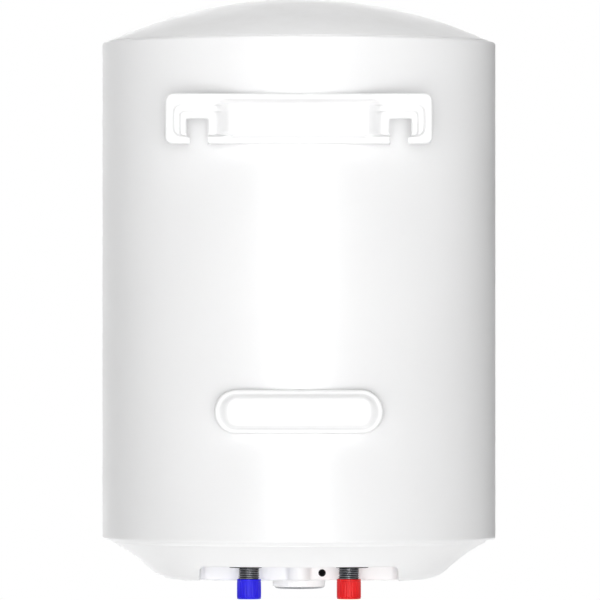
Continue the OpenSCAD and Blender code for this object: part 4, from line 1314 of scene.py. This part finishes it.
def cap_mesh(name, centre, box, shape):
    """A push-on cap with shallow grip ribs and rounded rims."""
    low, high = box[0].z, box[1].z
    r = (box[1].x - box[0].x) / 2
    wall = 0.75 * MM
    floor_z = low + 1.2 * MM
    ribs = shape.cap_ribs
    groove = 0.24 * MM
    outline = (
        [(0, low + 0.35 * MM), (r * 0.42, low + 0.35 * MM), (r * 0.46, low)]
        + arc((r - 1.1 * MM, low + 1.1 * MM), 1.1 * MM, -90, 0, 6)
        + [(r - groove, low + 1.5 * MM), (r - groove, low + 1.7 * MM), (r, low + 2.0 * MM),
           (r, low + 2.4 * MM), (r, low + 6 * MM), (r, high - 3.2 * MM), (r, high - 2.6 * MM)]
        + [(r - groove, high - 2.3 * MM), (r - groove, high - 2.1 * MM), (r, high - 1.8 * MM)]
        + arc((r - wall / 2, high - wall / 2), wall / 2, 0, 180, 6)
        + [(r - wall, floor_z), (7.3 * MM, floor_z), (7.3 * MM, low + 10 * MM), (6.6 * MM, low + 11 * MM),
           (5.9 * MM, low + 11 * MM), (5.9 * MM, floor_z), (0, floor_z)])

    def ribbed(angle, reach, z):
        grip = smoothstep((z - low - 1.9 * MM) / (0.6 * MM)) * smoothstep((high - 2.5 * MM - z) / (0.6 * MM))
        if reach < r - 0.2 * MM:
            return reach
        return reach - 0.28 * MM * grip * (0.5 - 0.5 * math.cos(ribs * angle))

    return turned(name, outline, centre, ribs * 10, closed=False, radius=ribbed, angle=34)


# ---- Knob, lamp and cord entry ----


# The plated ring's dull grey stands in as painted shade on the underside of the knob's round.
KNOB_EDGE_R = 4 * MM                          # round of the knob's lower edge
TRIM_W = 4.5 * MM                             # plated ring let into that edge
TRIM_TO = -32                                 # the ring's upper end on the round, in degrees
TRIM_H = KNOB_EDGE_R * (1 + math.sin(math.radians(TRIM_TO)))


def knob_mesh(centre):
    """The knob's drum: finger flutes, a rounded lower edge with the ring's seat, and a hub."""
    top = KNOB_HIGH.z
    low = KNOB_LOW.z
    drum_top = FLOOR_Z - 0.7 * MM
    r = (KNOB_HIGH.x - KNOB_LOW.x) / 2
    outline = (
        [(0, low + 0.5 * MM), (r - TRIM_W - 3.2 * MM, low + 0.5 * MM),
         (r - TRIM_W - 2.4 * MM, low + 0.05 * MM), (r - TRIM_W - 0.3 * MM, low + 0.05 * MM),
         (r - TRIM_W, low + 0.3 * MM), (r - TRIM_W, low + TRIM_H), (r - 1.3 * MM, low + TRIM_H)]
        + arc((r - KNOB_EDGE_R, low + KNOB_EDGE_R), KNOB_EDGE_R, TRIM_TO + 3, 0, 10)
        + [(r, z) for z in run(low + KNOB_EDGE_R + 0.3 * MM, drum_top - 0.9 * MM, 1.2 * MM)]
        + arc((r - 0.8 * MM, drum_top - 0.8 * MM), 0.8 * MM, 0, 90, 5)
        + [(9 * MM, drum_top), (8 * MM, drum_top + 0.4 * MM), (8 * MM, top - 0.5 * MM), (7.5 * MM, top),
           (3.05 * MM, top), (3.05 * MM, low + 4 * MM), (0, low + 4 * MM)])

    def fluted(angle, reach, z):
        grip = smoothstep((z - low - KNOB_EDGE_R) / (1 * MM))
        grip *= smoothstep((drum_top - 1 * MM - z) / (0.8 * MM))
        if reach < r - 0.3 * MM:
            return reach
        return reach - 0.2 * MM * grip * (0.5 - 0.5 * math.cos(60 * angle))

    build = bmesh.new()
    lathe(build, outline, centre, 360, closed=False, radius=fluted)
    mesh = mesh_from("knob", build)
    return smooth(mesh, 34)


def bar(build, centre, angle, near, far, half_w, low, high, bevel):
    """Adds a raised bar that points away from a centre, with chamfered faces towards low."""
    out = Vector((math.cos(angle), math.sin(angle), 0))
    side = Vector((-out.y, out.x, 0))
    rings = []
    for z, pull in ((high, 0), (low + bevel, 0), (low, bevel)):
        ring = []
        for reach, across in ((near + pull, -1), (far - pull, -1), (far - pull, 1), (near + pull, 1)):
            place = Vector((centre[0], centre[1], z)) + out * reach + side * across * (half_w - pull)
            ring.append(build.verts.new(place))
        rings.append(ring)
    for a, b in zip(rings, rings[1:]):
        for i in range(4):
            build.faces.new([a[i], a[(i + 1) % 4], b[(i + 1) % 4], b[i]])
    build.faces.new(rings[0])
    build.faces.new(rings[-1])


def shade_ring_mesh(centre):
    """The knob's plated ring, flush with the round of its lower edge, with a fine groove underneath; it
    covers the round's underside, where its dull grey is painted shade.
    """
    low = KNOB_LOW.z
    r = (KNOB_HIGH.x - KNOB_LOW.x) / 2
    groove = r - KNOB_EDGE_R - 0.1 * MM
    outline = ([(r - TRIM_W, low + TRIM_H), (r - TRIM_W, low + 0.2 * MM), (r - TRIM_W + 0.15 * MM, low),
                (groove - 0.15 * MM, low), (groove, low + 0.12 * MM)]
               + arc((r - KNOB_EDGE_R, low + KNOB_EDGE_R), KNOB_EDGE_R, -90, TRIM_TO, 10))
    return turned("trim_ring", outline, centre, 128, closed=True)


def lens_mesh(centre):
    """The lamp's lens: a low dome with a collar inside the cover."""
    r = (LENS_HIGH.x - LENS_LOW.x) / 2
    low, high = LENS_LOW.z, LENS_HIGH.z
    dome = [(r * math.sin(math.radians(9 * i)), FLOOR_Z - (FLOOR_Z - low) * math.cos(math.radians(9 * i)))
            for i in range(11)]
    return turned("lens", dome + [(r, high), (r - 0.8 * MM, high), (r - 0.8 * MM, FLOOR_Z + 1 * MM),
                                  (0, FLOOR_Z + 1 * MM)], centre, 48, closed=False)


def grommet_mesh():
    """The cord's rubber grommet: a rounded bead outside, a waist in the wall and a flange inside."""
    x = (GROMMET_LOW.x + GROMMET_HIGH.x) / 2
    z = (GROMMET_LOW.z + GROMMET_HIGH.z) / 2
    face = AXIS_Y + BAY_FRONT
    bore = CORD_WAY_R
    flange, waist = bore + 1.3 * MM, CORD_HOLE_R - 0.05 * MM
    build = bmesh.new()
    bead = (CORD_HOLE_R + 0.1 * MM - bore) / 2
    outline = (
        [(flange, -6.4 * MM), (flange, -2.7 * MM), (waist, -2.6 * MM), (waist, 0)]
        + [(bore + bead * (1 + math.cos(t)), bead * (1 + math.sin(t)))
           for t in [math.radians(-40 + 20 * i) for i in range(12)]]
        + [(bore, 0.1 * MM), (bore, -6.4 * MM)])
    lathe(build, outline, (0, 0), 64)
    lay_along_y(build)
    bmesh.ops.translate(build, verts=build.verts, vec=(x, face, z))
    return smooth(mesh_from("grommet", build), 40)


def hole_shade_sleeve_mesh():
    """A black sleeve behind the grommet, a dark piece put there as painted shade so that the cord's hole
    looks into the housing.
    """
    x = (GROMMET_LOW.x + GROMMET_HIGH.x) / 2
    z = (GROMMET_LOW.z + GROMMET_HIGH.z) / 2
    build = bmesh.new()
    r = CORD_WAY_R - 0.03 * MM
    outline = [(0, -6.35 * MM), (0.6 * MM, -6.35 * MM), (r, -3.6 * MM), (r, -1.2 * MM),
               (r - 0.15 * MM, -1.2 * MM), (r - 0.2 * MM, -2.2 * MM), (r - 0.5 * MM, -2.9 * MM),
               (0.4 * MM, -6.0 * MM), (0, -6.1 * MM)]
    lathe(build, outline, (0, 0), 48, closed=False)
    lay_along_y(build)
    bmesh.ops.translate(build, verts=build.verts, vec=(x, AXIS_Y + BAY_FRONT, z))
    return smooth(mesh_from("cord_way", build), 40)


# ---- Stage ----


def aim(thing, target):
    """Turns a lamp or a camera towards a point."""
    thing.rotation_euler = (Vector(target) - thing.location).to_track_quat("-Z", "Y").to_euler()


def softbox(name, place, target, size, power):
    """A rectangular studio light that faces a point."""
    light = bpy.data.lights.new(name, "AREA")
    light.shape = "RECTANGLE"
    light.size, light.size_y = size
    light.energy = power
    lamp = bpy.data.objects.new(name, light)
    bpy.context.scene.collection.objects.link(lamp)
    lamp.location = place
    aim(lamp, target)
    return lamp


CAMERA_X = -1.1 * MM                          # the camera stands this far off the heater's middle
CAMERA_Z = -0.216
AIM_Z = -0.1772
FILL_PLACE = (0, -4.6, 0.5)                   # the softbox in front of the heater
FILL_AIM_Z = -0.17
FILL_SIZE = (1.5, 2.4)
FILL_POWER = 45
SKY_LOBES = (                                 # soft patches of light: (direction, sharpness, brightness)
    ((0, 1, 0), 30, 10.2),
    ((0, 0, -1), 1, 5.8),
    ((1, -3, 0), 12, 1.3),
    ((0, 0, 1), 16, 6.2),
)


def studio_world(backdrop):
    """Soft patches of light around the heater, and a plain backdrop that only the camera sees."""
    world = bpy.data.worlds.new("Studio")
    bpy.context.scene.world = world
    world.use_nodes = True
    tree = world.node_tree
    tree.nodes.clear()
    direction = node(tree, "ShaderNodeTexCoord").outputs["Generated"]
    total = 0.0
    for towards, sharpness, brightness in SKY_LOBES:
        facing = node(tree, "ShaderNodeVectorMath", operation="DOT_PRODUCT")
        feed(tree, facing.inputs[0], direction)
        feed(tree, facing.inputs[1], Vector(towards).normalized())
        patch = calc(tree, "POWER", calc(tree, "MAXIMUM", facing.outputs["Value"], 0.0), float(sharpness))
        total = calc(tree, "MULTIPLY_ADD", patch, brightness, total)
    lighting = node(tree, "ShaderNodeBackground")
    feed(tree, lighting.inputs["Strength"], total)
    seen = node(tree, "ShaderNodeBackground")
    seen.inputs["Strength"].default_value = backdrop
    for shown in (lighting, seen):
        shown.inputs["Color"].default_value = (1, 1, 1, 1)
    pick = node(tree, "ShaderNodeMixShader")
    feed(tree, pick.inputs[0], node(tree, "ShaderNodeLightPath").outputs["Is Camera Ray"])
    tree.links.new(lighting.outputs[0], pick.inputs[1])
    tree.links.new(seen.outputs[0], pick.inputs[2])
    tree.links.new(pick.outputs[0], node(tree, "ShaderNodeOutputWorld").inputs[0])


FLOOR_FADE = (0.9, 3.3)                       # from its middle, where the floor starts and ends to fade


def floor_finish():
    """Pale, lightly mottled floor. The camera sees it fade out to its rim, and sees through it from below."""
    material, tree, shader = start_finish("Studio floor")
    base = use_group(tree, mottle_group(), Colour=(0.92, 0.92, 0.92, 1), Shade=(0.90, 0.90, 0.90, 1),
                     Scale=2, Amount=1)["Colour"]
    feed(tree, shader.inputs["Base Color"], base)
    shader.inputs["Roughness"].default_value = 0.8
    away = node(tree, "ShaderNodeVectorMath", operation="LENGTH")
    feed(tree, away.inputs[0], node(tree, "ShaderNodeTexCoord").outputs["Object"])
    fade = node(tree, "ShaderNodeMapRange", interpolation_type="SMOOTHSTEP")
    feed(tree, fade.inputs["Value"], away.outputs["Value"])
    fade.inputs["From Min"].default_value, fade.inputs["From Max"].default_value = FLOOR_FADE
    through = node(tree, "ShaderNodeBsdfTransparent")
    pick = node(tree, "ShaderNodeMixShader")
    under = node(tree, "ShaderNodeNewGeometry").outputs["Backfacing"]
    seen = node(tree, "ShaderNodeLightPath").outputs["Is Camera Ray"]
    faded = calc(tree, "MULTIPLY", fade.outputs["Result"], seen)
    feed(tree, pick.inputs[0], calc(tree, "MAXIMUM", under, faded))
    tree.links.new(shader.outputs[0], pick.inputs[1])
    tree.links.new(through.outputs[0], pick.inputs[2])
    tree.links.new(pick.outputs[0], tree.nodes["Material Output"].inputs["Surface"])
    return material


# ---- Operators ----


class HeaterOperator:
    """What every builder of the heater shares."""

    bl_options = {"REGISTER", "UNDO"}


class HEATER_OT_stage(HeaterOperator, bpy.types.Operator):
    """Set the camera behind the heater, the soft lights, the backdrop and the floor"""

    bl_idname = "heater.stage"
    bl_label = "Stage"

    def execute(self, context):
        scene = context.scene
        stage = scene.heater_stage
        scene.view_settings.view_transform = "Standard"
        data = bpy.data.cameras.new("Camera")
        data.lens = stage.lens
        data.sensor_width = 36
        data.clip_end = 60
        camera = bpy.data.objects.new("Camera", data)
        scene.collection.objects.link(camera)
        camera.location = (CAMERA_X, AXIS_Y + stage.camera_distance, CAMERA_Z)
        aim(camera, (CAMERA_X, AXIS_Y, AIM_Z))
        scene.camera = camera
        studio_world(stage.backdrop)
        softbox("Front fill", FILL_PLACE, (0, AXIS_Y, FILL_AIM_Z), FILL_SIZE, FILL_POWER)
        build = bmesh.new()
        bmesh.ops.create_grid(build, x_segments=8, y_segments=8, size=stage.floor_size / 2)
        mesh = bpy.data.meshes.new("floor")
        build.to_mesh(mesh)
        build.free()
        floor = bpy.data.objects.new("floor", mesh)
        scene.collection.objects.link(floor)
        floor.location = (0, AXIS_Y, CAD_BOX[0].z - stage.floor_drop)
        mesh.materials.append(floor_finish())
        return {"FINISHED"}


class HEATER_OT_casing(HeaterOperator, bpy.types.Operator):
    """Roll the steel casing, with its turned-in edges"""

    bl_idname = "heater.casing"
    bl_label = "Casing"

    def execute(self, context):
        mesh = turned("casing", casing_outline(context.scene.heater_shape), (0, AXIS_Y), 256)
        casing = new_piece("casing", mesh, "vessel", finish_for("white_enamel"))
        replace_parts(casing, "outer_shell")
        return {"FINISHED"}


class HEATER_OT_top_cover(HeaterOperator, bpy.types.Operator):
    """Mould the domed top cover"""

    bl_idname = "heater.top_cover"
    bl_label = "Top cover"

    def execute(self, context):
        mesh = turned("dome", top_cover_outline(context.scene.heater_shape), (0, AXIS_Y), 256, closed=False)
        dome = new_piece("dome_cover", mesh, "vessel", finish_for("cover_plastic"))
        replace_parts(dome, "top_cover")
        return {"FINISHED"}


class HEATER_OT_bottom_cover(HeaterOperator, bpy.types.Operator):
    """Mould the bottom cover, with its pipe bay, screw wells and cord hole"""

    bl_idname = "heater.bottom_cover"
    bl_label = "Bottom cover"

    def execute(self, context):
        shape = context.scene.heater_shape
        piece = new_piece("bowl_cover", bottom_cover_mesh(shape), "vessel",
                          finish_for("cover_plastic"))
        applied(thicken(piece, shape.cover_gauge))
        x = (GROMMET_LOW.x + GROMMET_HIGH.x) / 2
        z = (GROMMET_LOW.z + GROMMET_HIGH.z) / 2
        cut_hole(piece, (x, AXIS_Y + BAY_FRONT, z), CORD_HOLE_R, 8 * MM)
        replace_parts(piece, "bottom_cover", "pipe_bay_tray", "bay_end_walls", "cord_entry_panel")
        return {"FINISHED"}


class HEATER_OT_wall_bracket(HeaterOperator, bpy.types.Operator):
    """Press the wall bracket"""

    bl_idname = "heater.wall_bracket"
    bl_label = "Wall bracket"

    def execute(self, context):
        shape = context.scene.heater_shape
        piece = new_piece("hanging_bracket", bracket_mesh(shape), "vessel",
                          finish_for("white_enamel"))
        applied(thicken(piece, shape.sheet_gauge))
        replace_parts(piece, "wall_bracket")
        return {"FINISHED"}


class HEATER_OT_wall_spacer(HeaterOperator, bpy.types.Operator):
    """Press the lower wall spacer"""

    bl_idname = "heater.wall_spacer"
    bl_label = "Wall spacer"

    def execute(self, context):
        shape = context.scene.heater_shape
        piece = new_piece("lower_spacer", spacer_mesh(shape), "vessel",
                          finish_for("white_enamel"))
        applied(thicken(piece, shape.sheet_gauge))
        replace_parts(piece, "wall_spacer")
        return {"FINISHED"}


class HEATER_OT_pipes(HeaterOperator, bpy.types.Operator):
    """Cut the two pipes' threads and fit their rubber collars"""

    bl_idname = "heater.pipes"
    bl_label = "Threaded pipes"

    def execute(self, context):
        shape = context.scene.heater_shape
        for name, cad_node in (("cold_pipe", "cold_inlet_pipe"), ("hot_pipe", "hot_outlet_pipe")):
            low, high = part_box(cad_node)
            centre = ((low.x + high.x) / 2, (low.y + high.y) / 2)
            mesh = threaded_pipe_mesh(name, centre, low.z, THREAD_TOP, high.z, PIPE_BORE_R, shape)
            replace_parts(new_piece(name, mesh, "vessel", finish_for("thread_steel")), cad_node)
            side = cad_node.split("_")[0]
            collar_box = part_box(side + "_pipe_collar")
            collar = new_piece(side + "_collar", collar_mesh(side + "_collar", collar_box, centre), "vessel",
                               finish_for("black_rubber"))
            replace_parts(collar, side + "_pipe_collar")
        return {"FINISHED"}


class HEATER_OT_caps(HeaterOperator, bpy.types.Operator):
    """Mould the blue and red thread caps"""

    bl_idname = "heater.caps"
    bl_label = "Thread caps"

    def execute(self, context):
        shape = context.scene.heater_shape
        caps = (("blue_cap", "cold_thread_cap", "cold_cap", "blue_plastic"),
                ("red_cap", "hot_thread_cap", "hot_cap", "red_plastic"))
        for name, cad_node, body, slot in caps:
            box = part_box(cad_node)
            centre = ((box[0].x + box[1].x) / 2, (box[0].y + box[1].y) / 2)
            piece = new_piece(name, cap_mesh(name, centre, box, shape), body, finish_for(slot))
            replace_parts(piece, cad_node)
        return {"FINISHED"}


class HEATER_OT_knob(HeaterOperator, bpy.types.Operator):
    """Make the temperature knob, its plated ring, its pointer and the dial's raised marks"""

    bl_idname = "heater.knob"
    bl_label = "Temperature knob"

    def execute(self, context):
        shape = context.scene.heater_shape
        centre = (0, AXIS_Y + KNOB_FRONT)
        knob = new_piece("knob_drum", knob_mesh(centre), "knob", finish_for("cover_plastic"))
        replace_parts(knob, "temperature_knob")
        # The plated ring, dull grey as painted shade on the knob's lower round.
        trim = new_piece("knob_shade_ring", shade_ring_mesh(centre), "knob", finish_for("trim_chrome"))
        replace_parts(trim, "knob_trim_ring")
        build = bmesh.new()
        r = (KNOB_HIGH.x - KNOB_LOW.x) / 2
        bar(build, centre, math.radians(-90), 8 * MM, r - 8.2 * MM, 0.9 * MM,
            KNOB_LOW.z + 0.05 * MM, KNOB_LOW.z + 1 * MM, 0.25 * MM)
        new_piece("knob_pointer", smooth(mesh_from("pointer", build), 20), "knob",
                  finish_for("black_plastic"))
        build = bmesh.new()
        for i in range(shape.dial_marks):
            share = i / (shape.dial_marks - 1)
            angle = math.radians(-90 - 135 + 270 * share)
            bar(build, centre, angle, r + 3 * MM, r + (5 + 4 * share) * MM, 0.6 * MM,
                FLOOR_Z - 0.35 * MM, FLOOR_Z + 0.2 * MM, 0.15 * MM)
        new_piece("dial_marks", smooth(mesh_from("dial_marks", build), 20), "vessel",
                  finish_for("grey_plastic"))
        return {"FINISHED"}


class HEATER_OT_entry(HeaterOperator, bpy.types.Operator):
    """Fit the indicator's lens and the cord's grommet"""

    bl_idname = "heater.entry"
    bl_label = "Lens and grommet"

    def execute(self, context):
        lens = new_piece("lamp_lens", lens_mesh((0, AXIS_Y + LENS_FRONT)), "vessel",
                         finish_for("amber_lens"))
        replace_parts(lens, "indicator_lens")
        ring = new_piece("cord_ring", grommet_mesh(), "vessel", finish_for("black_rubber"))
        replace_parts(ring, "cord_grommet")
        # Black sleeve behind the grommet: painted shade in the cord's hole.
        new_piece("hole_shade_sleeve", hole_shade_sleeve_mesh(), "vessel", finish_for("black_rubber"))
        return {"FINISHED"}


class HEATER_OT_inner_parts(HeaterOperator, bpy.types.Operator):
    """Give every part that keeps its frame mesh the finish of its slot"""

    bl_idname = "heater.inner_parts"
    bl_label = "Inner parts"

    def execute(self, context):
        slots = {part["node"]: part["material_slot"] for part in frame["record"]["subparts"]}
        for name, part in frame["nodes"].items():
            finish = finish_for(slots[name])
            part.data.materials.clear()
            part.data.materials.append(finish)
        return {"FINISHED"}


class HEATER_PT_panel(bpy.types.Panel):
    """Lists the heater's builders and settings"""

    bl_idname = "HEATER_PT_panel"
    bl_label = "Water heater"
    bl_space_type = "VIEW_3D"
    bl_region_type = "UI"
    bl_category = "Water heater"

    def draw(self, context):
        layout = self.layout
        for maker in BUILDERS:
            layout.operator(maker.bl_idname)
        for group in (context.scene.heater_shape, context.scene.heater_colours, context.scene.heater_stage):
            box = layout.box()
            for name in group.__annotations__:
                box.prop(group, name)


SETTINGS = (("heater_shape", HeaterShape), ("heater_colours", HeaterColours), ("heater_stage", HeaterStage))
BUILDERS = (
    HEATER_OT_stage, HEATER_OT_casing, HEATER_OT_top_cover, HEATER_OT_bottom_cover, HEATER_OT_wall_bracket,
    HEATER_OT_wall_spacer, HEATER_OT_pipes, HEATER_OT_caps, HEATER_OT_knob, HEATER_OT_entry,
    HEATER_OT_inner_parts,
)


def register():
    for name, group in SETTINGS:
        bpy.utils.register_class(group)
        setattr(bpy.types.Scene, name, PointerProperty(type=group))
    for kind in (*BUILDERS, HEATER_PT_panel):
        bpy.utils.register_class(kind)


def unregister():
    for kind in reversed((*BUILDERS, HEATER_PT_panel)):
        bpy.utils.unregister_class(kind)
    for name, group in reversed(SETTINGS):
        delattr(bpy.types.Scene, name)
        bpy.utils.unregister_class(group)


def main():
    """Build the heater from its operators."""
    register()
    bpy.ops.heater.stage()
    bpy.ops.heater.casing()
    bpy.ops.heater.top_cover()
    bpy.ops.heater.bottom_cover()
    bpy.ops.heater.wall_bracket()
    bpy.ops.heater.wall_spacer()
    bpy.ops.heater.pipes()
    bpy.ops.heater.caps()
    bpy.ops.heater.knob()
    bpy.ops.heater.entry()
    bpy.ops.heater.inner_parts()


if __name__ == "__main__":
    main()
